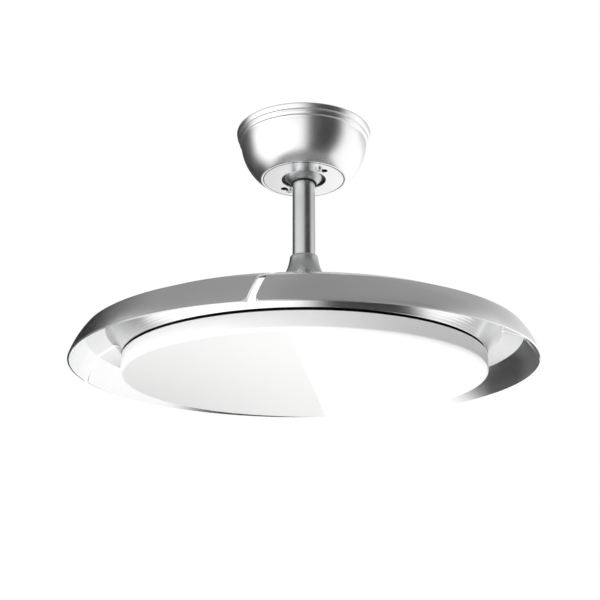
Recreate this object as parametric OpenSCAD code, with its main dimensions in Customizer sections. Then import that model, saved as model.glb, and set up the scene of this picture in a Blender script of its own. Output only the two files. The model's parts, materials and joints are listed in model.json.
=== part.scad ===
// Retractable blade ceiling fan with a round lamp.
// Frame: origin at the middle of the ceiling face of the hanging bracket, +Z up, millimetres.
// Pieces below the downrod are drawn with z = 0 at the underside of the lamp, then hung().

/* [Canopy] */
// Height of the canopy
canopy_h = 58.6; // [54:0.2:75]
// Radius of the canopy at the ceiling
canopy_r = 79.2; // [78:0.2:110]
// Radius of the bowl just under the rim band
bowl_r = 74.2; // [72:0.2:76]
// Height of the stepped rim band
band_h = 13; // [10:0.5:18]
// Outward bulge of the bowl
bowl_bulge = 5.7; // [3:0.1:8]
// Wall of the canopy
canopy_t = 1.2; // [0.8:0.1:2]
// Radius of the flat cover in the bottom of the canopy
cover_r = 46.8; // [44:0.2:50]
// Open seam between the canopy cover and the canopy
cover_gap = 0.9; // [0.4:0.1:1.5]
// Thickness of the canopy cover
cover_t = 1.6; // [1:0.1:2.2]
// Radius of the hole round the hanger ball
cover_hole_r = 26; // [24:0.5:28]

/* [Hanging bracket] */
// Length of the bracket plate along the ceiling
bracket_len = 132; // [120:1:140]
// Width of the bracket plate and legs
bracket_w = 40; // [30:1:44]
// Sheet thickness of the bracket
bracket_t = 2.5; // [2:0.1:3]
// Distance between the two ceiling slots
slot_spacing = 90; // [86:1:100]
// Width of a ceiling slot
slot_w = 5.5; // [4.5:0.1:6.5]
// Length of a ceiling slot, end to end
slot_len = 14; // [10:0.5:16]
// Inside distance between the bracket legs
leg_span = 68; // [64:0.5:70]
// Radius of the seat disc under the ball
seat_disc_r = 42; // [41.5:0.1:43]
// Radius on which the canopy screws sit
canopy_screw_r = 34; // [33:0.2:36]
// Direction of the first canopy screw
canopy_screw_a = -59.6; // [-70:0.2:-50]

/* [Hanger ball and downrod] */
// Radius of the hanger ball
ball_r = 28; // [27:0.5:29]
// Ball centre below the ceiling
ball_drop = 39; // [38:0.5:41]
// Radius of the downrod
rod_r = 13.1; // [12.5:0.1:13.6]
// Wall of the downrod
rod_t = 2; // [1.5:0.1:3]
// Length of the downrod
rod_len = 181; // [150:1:600]
// Radius of the cross pins
pin_r = 3; // [2.5:0.1:3.5]

/* [Coupling] */
// Radius of the coupling collar
yoke_r = 18.5; // [18:0.1:19]
// Height of the coupling collar
yoke_h = 42; // [38:0.5:46]
// Depth of the downrod in the collar
yoke_socket = 21.8; // [18:0.2:24]
// Height of the coupling cover
bell_h = 51.6; // [50:0.2:60]
// Radius of the coupling cover at its top
bell_top_r = 16.2; // [16:0.1:18]
// Radius of the coupling cover at its foot
bell_foot_r = 48; // [44:0.5:52]
// Inward hollow of the coupling cover's flare
bell_hollow = 7; // [4:0.5:8]
// Wall of the coupling cover
bell_t = 1.4; // [1:0.1:1.8]

/* [Motor] */
// Outer radius of the motor housing
motor_r = 80; // [78:0.5:82]
// Height of the motor housing
motor_h = 49.5; // [47:0.5:54]
// Radius of the hollow motor shaft
shaft_r = 10; // [9:0.1:10]
// Radius of the wire way through the shaft
shaft_bore_r = 5.5; // [4:0.5:6.5]
// Outer radius of the bearings
bearing_r = 21; // [20:0.5:22]
// Width of the bearings
bearing_w = 12; // [10:0.5:12]
// Radius of the stator
stator_r = 70.5; // [68:0.1:70.8]
// Height of the stator core
stator_h = 16; // [12:0.5:18]
// Number of stator teeth
stator_teeth = 12; // [9:3:12]
// Number of magnets
magnet_count = 16; // [12:2:20]
// Radius of the motor cover at its foot
dome_r = 104; // [100:1:110]
// Radius of the hole in the top of the motor cover
dome_top_r = 50; // [48:0.5:56]
// Height of the motor cover
dome_h = 47; // [42:0.5:49]
// Wall of the motor cover
dome_t = 2; // [1.5:0.1:2.5]

/* [Blade dish] */
// Radius of the dish at its lower edge
dish_r = 200; // [198:0.5:201]
// Radius of the dish at its rim
dish_rim_r = 217; // [216:0.5:218]
// Height of the dish
dish_h = 24.5; // [24:0.1:26]
// Outward bulge of the dish wall
dish_bulge = 2; // [1:0.1:3]
// Wall of the dish
dish_t = 2; // [1.5:0.1:2.2]
// Thickness of the gear cover plate
plate_t = 2; // [1.5:0.1:2.4]

/* [Blades] */
// Number of blades
blade_count = 4; // [4]
// Radius of the folded blades at their lower rim
blade_rim_r = 256; // [250:0.5:262]
// Radius of the shoulder between skirt and panel
shoulder_r = 241; // [239:0.5:243]
// Height of the blade skirt
skirt_h = 28.8; // [24:0.2:32]
// Outward bulge of the blade skirt
skirt_bulge = 1.3; // [0.5:0.1:2]
// Rise of the panel from the shoulder to the dish rim
panel_rise = 10.2; // [9:0.2:12]
// Thickness of a blade
blade_t = 2; // [1.6:0.1:3]
// Radius of a blade's inner edge
blade_in_r = 160; // [156:0.5:164]
// Radius of the inner edge at the blade tip
tip_in_r = 209; // [207:0.5:211]
// Length of the narrow tip, in degrees
tip_len = 24; // [22:0.5:26]
// Gap between folded blades, along the rim
seam_gap = 8; // [7:0.1:10]
// Lean of the gap across the skirt
seam_lean = 7.8; // [6:0.2:12]
// Further lean of the gap up to the dish rim
seam_lean_panel = 6; // [2:0.5:9]
// Width of the rounding at the blade's tip corner
tip_corner = 6; // [2:0.5:8]
// Height of the rounding at the blade's tip corner
tip_corner_h = 6.5; // [2:0.5:9]
// Width of the bevel at the blade's root corner
root_corner = 4.5; // [2:0.5:6]
// Height of the bevel at the blade's root corner
root_corner_h = 4; // [2:0.5:7]
// Radius of the pivot lug
lug_r = 16; // [15:0.5:17]
// Pivot behind the root gap, in degrees
pivot_lead = 15.3; // [15:0.1:17]
// How far a blade swings out, in degrees
swing = 115; // [60:1:118]
// Direction of the first gap
seam_a = -100.7; // [-110:0.1:-90]

/* [Gear train] */
// Gear module
gear_m = 2; // [1.98:0.01:2.02]
// Teeth of a blade pinion
pinion_teeth = 16; // [14:1:18]
// Teeth of a full turn of the ring
ring_teeth = 168; // [164:1:172]
// Height of the gears
gear_h = 7.5; // [6:0.5:8]
// Height of the pivot bosses
boss_h = 9.7; // [9:0.1:10.5]
// Radius of the pivot pins
pivot_r = 4; // [3.5:0.1:4.5]
// Inner radius of the ring
ring_in_r = 140; // [138:0.5:144]

/* [Lamp] */
// Radius of the diffuser
lamp_r = 200; // [196:0.5:200]
// Height of the diffuser
lamp_h = 19; // [18:0.1:26]
// Shadow gap between the lamp and the dish
gap_h = 3; // [2.8:0.1:6]
// Wall of the diffuser
diffuser_t = 2.2; // [1.5:0.1:3]
// Rounding of the diffuser's lower edge
diffuser_edge = 4; // [3:0.5:6]
// Thickness of the lamp pan
pan_t = 1.5; // [1:0.1:2]

/* [Clearances] */
// Radial clearance of a running fit
run_fit = 0.05; // [0.02:0.01:0.1]
// Radial clearance of a fixed pin or screw
snug = 0.02; // [0.01:0.01:0.05]
// Clearance between pieces that lie on each other but turn
face_gap = 0.3; // [0.2:0.05:0.4]

/* [Hidden] */
$fn = 72;
fine = 180;
eps = 0.01;

// ---- levels, measured up from the underside of the lamp ----
bracket_z = lamp_h;
bracket_plate_t = 1.5;
dish_z = lamp_h + gap_h;
floor_z = dish_z + dish_t;
gear_z = floor_z + boss_h + face_gap;
gear_top = gear_z + gear_h;
plate_z = gear_top + 1.5;
plate_top = plate_z + plate_t;
dish_top = dish_z + dish_h;
panel_z = max(dish_top, plate_top + 1.3) + 1.5;
panel_top = panel_z + blade_t;
shoulder_z = panel_top - panel_rise;
rim_z = shoulder_z - skirt_h;
motor_top = floor_z + motor_h;
yoke_z = motor_top + 10.5;
shaft_top = yoke_z + yoke_h - yoke_socket - 0.2;
rod_z = yoke_z + yoke_h - yoke_socket;
yoke_top = yoke_z + yoke_h;
bell_z = yoke_z + 13;
dome_z = plate_top;
dome_top = dome_z + dome_h;

// ---- hanging ----
ball_z = -ball_drop;
rod_over = 24;
lamp_z = ball_z + rod_over - rod_len - rod_z;
seat_z = -canopy_h + cover_t + 1;
seat_cup_h = 9;

// ---- blades and gears ----
pitch = 360 / blade_count;
pivot_circle = gear_m * (ring_teeth + pinion_teeth) / 2;
pinion_pitch_r = gear_m * pinion_teeth / 2;
ring_pitch_r = gear_m * ring_teeth / 2;
addendum = 0.8 * gear_m;
dedendum = 1.1 * gear_m;
backlash = 0.3;
ring_travel = swing * pinion_teeth / ring_teeth;
hub_r = 10;
hub_z = gear_top + eps;
lug_boss_r = 14;
lug_top = panel_top + 2;
dowel_r = 1.5;
dowel_off = 7.2;
screw_r = 1.5;
screw_head_r = 3;
screw_head_h = 1.6;
rib_r = ring_in_r - run_fit * 2;
rib_t = 6;
ring_root_r = ring_pitch_r - dedendum;
stop_circle = (ring_in_r + ring_root_r) / 2;
stop_r = 3;
sleeve_r = 4.5;
post_r = 4.5;
post_gap = 1.4;
dish_wall = bow([dish_r, dish_z], [dish_rim_r, dish_top], dish_bulge, 10);
inner_post_circle = rib_r - rib_t - post_r - post_gap;
plate_inset = 1.8;
plate_r = lookup(plate_z, [for (p = beside(dish_wall, -dish_t)) [p[1], p[0]]]) - plate_inset;
plate_edge = 9;
outer_post_circle = min(dish_r, plate_r - plate_edge) - post_r - post_gap;
dish_centre_r = 30;
screw_start = seam_a + pivot_lead + 45;
stop_a = seam_a + pivot_lead + 60;
cover_screw_len = 10;
blade_rib_t = 1.6;
blade_rib_h = 1.8;
rib_inset = [12, 16];
blade_ribs = [blade_in_r + rib_inset[0], dish_rim_r - rib_inset[1]];
pivot_screw_r = 2;
pivot_screw_len = 10;
pivot_screw_head_r = 8;
cover_screw_circle = dome_r + 2.4;
cover_foot_w = 5;
motor_screw_circle = motor_r - 2.4;
motor_screw_len = 15;

// ---- lamp ----
pan_r = lamp_r - diffuser_t - face_gap;
nut_h = 6.5;
nut_r = 17;
lamp_bracket_r = 60;
lamp_screw_circle = 45;
board_t = 1.6;
board_in_r = 100;
board_r = pan_r - 9.5;
clip_r = pan_r - 9;

// ---- ceiling side ----
receiver_size = [64, 25, 24];
receiver_y = 31;
ear_t = 2;
ear_len = 8;
wing_y = 46;
wing_x = 80;
block_size = [24, 10, 11];
block_y = 24;

// shank radius, shank length, head radius and head height
canopy_screw = [2, 7, 3.8, 2.2];

// ---- ball and coupling ----
ball_top = 18;
ball_foot = 24;
pin_len = 42;
set_screw_r = 2.5;
yoke_pin_up = 9.8;
yoke_flange_r = 28;
yoke_flange_h = 4;
yoke_screw_up = 17;
yoke_screw_len = 7;

// ---- motor ----
base_t = 4;
pocket_z = floor_z + 2;
boss_r = bearing_r + 4;
collar_r = shaft_r + 3;
wall_in_r = motor_r - 4;
upper_bearing_z = motor_top - 1.5 - bearing_w;
core_z = (pocket_z + bearing_w + upper_bearing_z) / 2 - stator_h / 2;
ball_circle = (bearing_r + shaft_r) / 2 + 0.5;
ball_size = 3.2;
race_t = (bearing_r - shaft_r) / 2 - 2.4;
tooth_w = 8;
shoe_t = 4;
coil_in = 41;
coil_t = 4.6;

// ---- return springs ----
spring_wire = 0.6;
spring_r = 10.4;
spring_turns = 3.5;
spring_pitch = 2;
spring_leg = 7;
ring_sides = 6;

// ---- lamp fastenings ----
tab_z = bracket_z - pan_t - 6;
tab_t = 1.6;
led_size = 5;
led_pitch = 30;
led_row_r = [for (i = [0:2]) board_in_r + led_pitch * (i + 0.5)];
driver_size = [64, 40, 10.5];
rib_gap = 8;
lamp_screw_start = 60;

// ---- helpers ----
function polar(r, a) = [r * cos(a), r * sin(a)];
function deg(mm, r) = mm / r * 180 / PI;
function reverse(list) = [for (i = [len(list) - 1:-1:0]) list[i]];
function unit(v) = v / norm(v);
function left_of(v) = [-v[1], v[0]];

// points of a circular arc from p to q whose middle stands s to the left of the chord
function bow(p, q, s, n = 8) =
    let (c = norm(q - p), r = (c * c / 4 + s * s) / (2 * abs(s)), side = sign(s),
         mid = (p + q) / 2 - left_of(unit(q - p)) * side * (r - abs(s)),
         a0 = atan2(p[1] - mid[1], p[0] - mid[0]),
         a1 = atan2(q[1] - mid[1], q[0] - mid[0]),
         turn = ((a1 - a0) % 360 + 540) % 360 - 180)
    [for (i = [0:n]) mid + polar(r, a0 + turn * i / n)];

// the open line pts moved t to its right, with mitred corners
function beside(pts, t) =
    let (last = len(pts) - 1)
    [for (i = [0:last])
        let (d0 = unit(pts[max(i, 1)] - pts[max(i, 1) - 1]),
             d1 = unit(pts[min(i, last - 1) + 1] - pts[min(i, last - 1)]),
             n0 = -left_of(d0), n1 = -left_of(d1), m = unit(n0 + n1))
        pts[i] + m * t / (m * n0)];

module shell(pts, t) {
    polygon(concat(pts, reverse(beside(pts, t))));
}

module hung() {
    translate([0, 0, lamp_z]) children();
}

module ring(r_out, r_in, h, z = 0) {
    translate([0, 0, z])
        difference() {
            cylinder(r = r_out, h = h, $fn = fine);
            translate([0, 0, -1]) cylinder(r = r_in, h = h + 2, $fn = fine);
        }
}

module around(r, count, start = 0) {
    for (i = [0:count - 1]) rotate(start + i * 360 / count) translate([r, 0, 0]) children();
}

// each blade pivot in turn, +X pointing away from the fan axis
module at_pivots() {
    around(pivot_circle, blade_count, seam_a + pivot_lead) children();
}

module along_x(length) {
    translate([-length / 2, 0, 0]) rotate([0, 90, 0]) children();
}

// a machine screw, head down, its head's seat at z = 0
module screw_up(r, length, head_r, head_h) {
    translate([0, 0, -head_h / 4]) cylinder(r = r, h = length + head_h / 4);
    difference() {
        translate([0, 0, -head_h]) cylinder(r = head_r, h = head_h);
        for (a = [0, 90])
            rotate(a) translate([-head_r * 0.6, -0.4, -head_h - 1])
                cube([head_r * 1.2, 0.8, 1 + head_h * 0.5]);
    }
}

module screw_down(r, length, head_r, head_h) {
    mirror([0, 0, 1]) screw_up(r, length, head_r, head_h);
}

// ---- ceiling side ----

module ceiling_slots() {
    for (s = [-1, 1])
        translate([s * slot_spacing / 2, 0, -bracket_t - 1])
            for (e = [-1, 1]) {
                translate([e * (slot_len - slot_w) / 2, 0, 0]) cylinder(d = slot_w, h = bracket_t + 2);
                translate([-(slot_len - slot_w) / 2, -slot_w / 2, 0])
                    cube([slot_len - slot_w, slot_w, bracket_t + 2]);
            }
}

module ceiling_bracket() {
    color("#4a4c50") difference() {
        union() {
            translate([-bracket_len / 2, -bracket_w / 2, -bracket_t])
                cube([bracket_len, bracket_w, bracket_t]);
            translate([-wing_x / 2, 0, -bracket_t]) cube([wing_x, wing_y, bracket_t]);
            translate([-block_size[0] / 2 - 2, -block_y - block_size[1], -bracket_t])
                cube([block_size[0] + 4, block_y, bracket_t]);
            for (s = [0, 1])
                mirror([s, 0, 0])
                    translate([leg_span / 2, -bracket_w / 2 * 0.8, seat_z])
                        cube([bracket_t, bracket_w * 0.8, -seat_z]);
            translate([0, 0, seat_z]) cylinder(r = seat_disc_r, h = bracket_t, $fn = fine);
            translate([0, 0, seat_z]) cylinder(r = ball_r + 3, h = seat_cup_h);
            translate([leg_span / 2 + 1, 0, ball_z])
                rotate([0, -90, 0]) cylinder(r = 2, h = leg_span / 2 - ball_r + 3.5);
        }
        translate([0, 0, ball_z]) sphere(r = ball_r + run_fit, $fn = fine);
        translate([0, 0, seat_z - 1]) cylinder(r = sqrt(ball_r ^ 2 - (ball_z - seat_z) ^ 2) + run_fit, h = 3);
        translate([-rod_r - 1.4, 0, seat_z - 1]) cube([rod_r * 2 + 2.8, seat_disc_r + 5, seat_cup_h + 2]);
        ceiling_slots();
        translate([0, -bracket_w / 4, -bracket_t - 1]) cylinder(r = 7, h = bracket_t + 2);
        for (a = [0, 180])
            rotate(canopy_screw_a + a)
                translate([canopy_screw_r, 0, seat_z - 1]) cylinder(r = 2 + run_fit, h = bracket_t + 2);
        for (s = [-1, 1])
            translate([s * (receiver_size[0] + ear_len) / 2, receiver_y + 6, -bracket_t - 1])
                cylinder(r = screw_r + run_fit, h = bracket_t + 2);
    }
}

canopy_profile = concat(
    bow([cover_r + 3.5, -canopy_h], [bowl_r, -band_h], -bowl_bulge, 12),
    [[bowl_r + 2, -band_h + 1], [bowl_r + 2.6, -band_h * 0.6], [bowl_r + 1.8, -band_h * 0.54],
     [canopy_r - 1, -band_h * 0.46], [canopy_r, -1.5], [canopy_r, 0]]);

// the cover lies under the canopy's inward flange
module canopy() {
    flange_z = -canopy_h + cover_t + 0.1;
    inside = [for (p = beside(canopy_profile, -canopy_t)) if (p[1] > flange_z + canopy_t) p];
    color("#c9cbce") rotate_extrude($fn = fine) difference() {
        polygon(concat([[0, 0], [0, -canopy_h]], canopy_profile));
        polygon(concat([[-1, 1], [-1, flange_z + canopy_t]], inside, [[canopy_r - canopy_t, 1]]));
        translate([-1, -canopy_h - 1]) square([cover_r - 2, canopy_h]);
        translate([0, -canopy_h - 1]) square([cover_r + cover_gap, cover_t + 1.1]);
    }
}

module canopy_cover() {
    wide_turn = 13;
    color("#d6d8da") translate([0, 0, -canopy_h]) difference() {
        cylinder(r = cover_r, h = cover_t, $fn = fine);
        translate([0, 0, -1]) cylinder(r = cover_hole_r, h = cover_t + 2, $fn = fine);
        for (a = [0, 180])
            rotate(canopy_screw_a + a) {
                rotate(wide_turn) translate([canopy_screw_r, 0, -1]) cylinder(r = 4.2, h = cover_t + 2);
                rotate(-2) rotate_extrude(angle = wide_turn + 2)
                    translate([canopy_screw_r - 2.3, -1]) square([4.6, cover_t + 2]);
                rotate(-2) translate([canopy_screw_r, 0, -1]) cylinder(r = 2.3, h = cover_t + 2);
            }
    }
}

module canopy_screws() {
    color("#8b8d90")
        for (a = [0, 180])
            rotate(canopy_screw_a + a)
                translate([canopy_screw_r, 0, -canopy_h])
                    screw_up(canopy_screw[0], canopy_screw[1], canopy_screw[2], canopy_screw[3]);
}

module receiver_box() {
    color("#e8e8e4") difference() {
        union() {
            translate([-receiver_size[0] / 2, receiver_y, -bracket_t - receiver_size[2]]) cube(receiver_size);
            translate([-receiver_size[0] / 2 - ear_len, receiver_y, -bracket_t - ear_t])
                cube([receiver_size[0] + 2 * ear_len, 12, ear_t]);
        }
        for (s = [-1, 1])
            translate([s * (receiver_size[0] + ear_len) / 2, receiver_y + 6, -bracket_t - ear_t - 1])
                cylinder(r = screw_r + run_fit, h = ear_t + 2);
        for (s = [-1, 1])
            translate([s * 18, receiver_y - 1, -bracket_t - receiver_size[2] * 0.7])
                rotate([-90, 0, 0]) cylinder(r = 3, h = 5);
    }
}

module receiver_screws() {
    color("#8b8d90")
        for (s = [-1, 1])
            translate([s * (receiver_size[0] + ear_len) / 2, receiver_y + 6, -bracket_t - ear_t])
                screw_up(screw_r, ear_t + bracket_t - 0.3, screw_head_r, screw_head_h);
}

module terminal_block() {
    color("#f2f2ee") difference() {
        translate([-block_size[0] / 2, -block_y - block_size[1] + 1, -bracket_t - block_size[2]])
            cube([block_size[0], block_size[1] - 1, block_size[2]]);
        for (i = [-1, 0, 1])
            translate([i * 7.4, -block_y - block_size[1], -bracket_t - block_size[2] / 2])
                rotate([-90, 0, 0]) cylinder(r = 2, h = block_size[1] + 2);
    }
}

// ---- ball, downrod and coupling ----

module hanger_ball() {
    color("#b9bbbe") translate([0, 0, ball_z]) difference() {
        sphere(r = ball_r, $fn = fine);
        translate([-ball_r, -ball_r, ball_top]) cube([2 * ball_r, 2 * ball_r, ball_r]);
        translate([-ball_r, -ball_r, -ball_foot - ball_r]) cube([2 * ball_r, 2 * ball_r, ball_r]);
        translate([0, 0, -ball_r - 1]) cylinder(r = rod_r + snug, h = 2 * ball_r + 2, $fn = fine);
        rotate([90, 0, 0]) translate([0, 0, -pin_len / 2 - 0.2])
            cylinder(r = pin_r + snug, h = pin_len + 0.4);
        translate([ball_r - 3.5, -2.3, -10]) cube([10, 4.6, ball_r + 10]);
        rotate(135) translate([0, 0, 9]) rotate([0, 90, 0]) cylinder(r = set_screw_r + snug, h = ball_r + 1);
    }
}

module downrod() {
    color("#aeb0b3") difference() {
        translate([0, 0, ball_z + rod_over - rod_len]) cylinder(r = rod_r, h = rod_len, $fn = fine);
        translate([0, 0, ball_z + rod_over - rod_len - 1])
            cylinder(r = rod_r - rod_t, h = rod_len + 2, $fn = fine);
        translate([0, 0, ball_z]) rotate([90, 0, 0])
            translate([0, 0, -rod_r - 1]) cylinder(r = pin_r + snug, h = 2 * rod_r + 2);
        translate([0, 0, lamp_z + rod_z + yoke_pin_up]) along_x(2 * rod_r + 2)
            cylinder(r = pin_r + snug, h = 2 * rod_r + 2);
    }
}

module ball_pin() {
    color("#8d9094") translate([0, 0, ball_z]) rotate([90, 0, 0])
        translate([0, 0, -pin_len / 2]) cylinder(r = pin_r, h = pin_len);
}

module ball_set_screw() {
    color("#55585c") translate([0, 0, ball_z]) rotate(135) translate([rod_r, 0, 9]) rotate([0, 90, 0])
        difference() {
            cylinder(r = set_screw_r, h = 10);
            translate([0, 0, 7]) cylinder(r = 1.4, h = 4, $fn = 6);
        }
}

module motor_yoke() {
    color("#7c7f83") hung() difference() {
        union() {
            translate([0, 0, yoke_z]) cylinder(r = yoke_r, h = yoke_h);
            translate([0, 0, yoke_z]) cylinder(r = yoke_flange_r, h = yoke_flange_h);
        }
        translate([0, 0, yoke_z - 1]) cylinder(r = shaft_r + snug, h = yoke_h);
        translate([0, 0, rod_z - eps]) cylinder(r = rod_r + snug, h = yoke_h, $fn = fine);
        translate([0, 0, rod_z + yoke_pin_up]) along_x(2 * yoke_r + 2)
            cylinder(r = pin_r + snug, h = 2 * yoke_r + 2);
        for (a = [90, -90])
            rotate(a) translate([rod_r - 1, 0, rod_z + yoke_screw_up])
                rotate([0, 90, 0]) cylinder(r = set_screw_r + snug, h = yoke_r);
    }
}

module yoke_pin() {
    pin_end = yoke_r + 3.6;
    color("#9da0a4") hung() translate([0, 0, rod_z + yoke_pin_up]) difference() {
        union() {
            translate([-pin_end, 0, 0]) rotate([0, 90, 0]) cylinder(r = pin_r, h = pin_end + yoke_r + 1);
            translate([yoke_r + snug, 0, 0]) rotate([0, 90, 0]) cylinder(r = pin_r + 1.8, h = 1.8);
        }
        translate([-yoke_r - 1.7, 0, -pin_r - 1]) cylinder(r = 0.85, h = 2 * pin_r + 2);
    }
}

// hairpin clip: one leg through the pin, the other sprung round it
module cotter_clip() {
    wire = 0.75;
    leg = 6;
    bend = 2.3;
    color("#c0c2c4") hung() translate([-yoke_r - 1.7, 0, rod_z + yoke_pin_up]) {
        translate([0, 0, -leg]) cylinder(r = wire, h = 2 * leg);
        translate([0, bend, leg]) rotate([90, 0, -90])
            rotate_extrude(angle = 180) translate([bend, 0]) circle(r = wire, $fn = 24);
        translate([0, 2 * bend, pin_r + 1.6]) cylinder(r = wire, h = leg - pin_r - 1.6);
    }
}

module yoke_screws() {
    color("#55585c") hung()
        for (a = [90, -90])
            rotate(a) translate([rod_r, 0, rod_z + yoke_screw_up]) rotate([0, 90, 0])
                difference() {
                    cylinder(r = set_screw_r, h = yoke_screw_len);
                    translate([0, 0, yoke_screw_len - 2.5]) cylinder(r = 1.4, h = 4, $fn = 6);
                }
}

module yoke_cover() {
    outer = concat([[rod_r, bell_z + bell_h], [bell_top_r - 0.4, bell_z + bell_h - 0.2]],
                   bow([bell_top_r, bell_z + bell_h - 1.6], [bell_foot_r, bell_z], -bell_hollow, 14));
    color("#8f9194") hung() rotate_extrude($fn = fine) difference() {
        union() {
            shell(outer, bell_t);
            intersection() {
                polygon(concat([[0, bell_z], [0, bell_z + bell_h]], outer));
                translate([0, yoke_top + 0.1]) square([bell_foot_r, 1.6]);
            }
        }
        translate([0, bell_z - 5]) square([rod_r + 0.3, bell_h + 10]);
        translate([0, bell_z - 5]) square([bell_foot_r + 5, 5]);
    }
}

// ---- motor ----

module motor_shaft() {
    color("#9a9da1") hung() difference() {
        union() {
            translate([0, 0, bracket_z - nut_h - 0.5])
                cylinder(r = shaft_r, h = shaft_top - bracket_z + nut_h + 0.5);
            translate([0, 0, bracket_z + bracket_plate_t])
                cylinder(r = collar_r, h = pocket_z - bracket_z - bracket_plate_t);
        }
        translate([0, 0, 0]) cylinder(r = shaft_bore_r, h = shaft_top + 1);
    }
}

module race_section(inner) {
    difference() {
        if (inner) translate([shaft_r + snug, 0]) square([race_t, bearing_w]);
        else translate([bearing_r - race_t, 0]) square([race_t, bearing_w]);
        translate([ball_circle, bearing_w / 2]) circle(r = ball_size + run_fit, $fn = 48);
    }
}

module at_bearings() {
    for (z = [pocket_z, upper_bearing_z]) translate([0, 0, z]) children();
}

module bearing_inner_races() {
    color("#b8babd") hung() at_bearings() rotate_extrude() race_section(true);
}

module bearing_outer_races() {
    color("#b8babd") hung() at_bearings() rotate_extrude() race_section(false);
}

module bearing_balls() {
    color("#d4d6d8") hung() at_bearings()
        around(ball_circle, 9) translate([0, 0, bearing_w / 2]) sphere(r = ball_size, $fn = 32);
}

module stator_core() {
    hub = 30;
    color("#6d7073") hung() translate([0, 0, core_z]) difference() {
        union() {
            cylinder(r = hub, h = stator_h);
            for (i = [0:stator_teeth - 1]) rotate(i * 360 / stator_teeth) {
                translate([hub - 2, -tooth_w / 2, 0]) cube([stator_r - hub - 1, tooth_w, stator_h]);
                rotate(-11) rotate_extrude(angle = 22, $fn = fine)
                    translate([stator_r - shoe_t, 0]) square([shoe_t, stator_h]);
            }
        }
        translate([0, 0, -1]) cylinder(r = shaft_r + snug, h = stator_h + 2);
    }
}

module stator_windings() {
    coil_len = stator_r - shoe_t - 1 - coil_in;
    color("#b06a32") hung() translate([0, 0, core_z])
        for (i = [0:stator_teeth - 1]) rotate(i * 360 / stator_teeth) difference() {
            translate([coil_in, -tooth_w / 2 - coil_t, -coil_t])
                cube([coil_len, tooth_w + 2 * coil_t, stator_h + 2 * coil_t]);
            translate([coil_in - 1, -tooth_w / 2 - 0.1, -0.1])
                cube([coil_len + 2, tooth_w + 0.2, stator_h + 0.2]);
        }
}

module magnets() {
    magnet_h = stator_h + 8;
    gap_a = 3;
    color("#3d4045") hung() translate([0, 0, core_z - 4])
        for (i = [0:magnet_count - 1]) rotate(i * 360 / magnet_count)
            rotate_extrude(angle = 360 / magnet_count - gap_a, $fn = fine)
                translate([stator_r + 1, 0]) square([wall_in_r - stator_r - 1 - snug, magnet_h]);
}

module motor_base() {
    color("#a2a5a8") hung() difference() {
        union() {
            translate([0, 0, floor_z]) cylinder(r = motor_r, h = base_t, $fn = fine);
            translate([0, 0, floor_z]) cylinder(r = boss_r, h = bearing_w + 2);
        }
        translate([0, 0, floor_z - 1]) cylinder(r = collar_r + 1.5, h = motor_h);
        translate([0, 0, pocket_z]) cylinder(r = bearing_r + snug, h = motor_h);
        translate([0, 0, floor_z - 1])
            around(motor_screw_circle, 6, 15) cylinder(r = screw_r + run_fit, h = base_t + 2);
    }
}

module motor_housing() {
    top_t = 4;
    color("#a2a5a8") hung() difference() {
        translate([0, 0, floor_z + base_t]) cylinder(r = motor_r, h = motor_h - base_t, $fn = fine);
        difference() {
            translate([0, 0, floor_z]) cylinder(r = wall_in_r, h = motor_h - top_t, $fn = fine);
            translate([0, 0, upper_bearing_z]) cylinder(r = boss_r, h = motor_h);
        }
        translate([0, 0, upper_bearing_z - 1]) cylinder(r = bearing_r + snug, h = bearing_w + 1);
        translate([0, 0, motor_top - 5]) cylinder(r = collar_r + 1.5, h = 10);
        translate([0, 0, floor_z])
            around(motor_screw_circle, 6, 15) cylinder(r = screw_r + run_fit, h = motor_screw_len);
        translate([0, 0, motor_top - top_t - 1]) around(52, 8) cylinder(r = 6, h = top_t + 2);
    }
}

module motor_screws() {
    color("#8b8d90") hung() translate([0, 0, dish_z])
        around(motor_screw_circle, 6, 15) screw_up(screw_r, motor_screw_len, 2.8, 1.5);
}

module motor_cover() {
    skin = concat([[dome_r + cover_foot_w, dome_z + dome_t], [dome_r, dome_z + dome_t]],
                  bow([dome_r, dome_z + dome_t + 1], [dome_top_r + 3, dome_top], -12, 14),
                  [[dome_top_r, dome_top]]);
    color("#b4b6b9") hung() difference() {
        rotate_extrude($fn = fine) shell(skin, -dome_t);
        translate([0, 0, dome_z - 1])
            around(cover_screw_circle, 4, 45) cylinder(r = screw_r + run_fit, h = dome_t + 4);
    }
}

module motor_cover_screws() {
    color("#8b8d90") hung() translate([0, 0, dome_z + dome_t])
        around(cover_screw_circle, 4, 45) screw_down(screw_r, dome_t + plate_t + 2, 2.2, 1.2);
}

// ---- blade dish and gear train ----

// the screw posts of the gear cover, inside and outside the ring
module at_posts() {
    for (r = [inner_post_circle, outer_post_circle]) around(r, 4, screw_start) children();
}

module pivot_boss() {
    translate([0, 0, floor_z - eps]) cylinder(r = 8, h = boss_h + eps);
}

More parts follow.
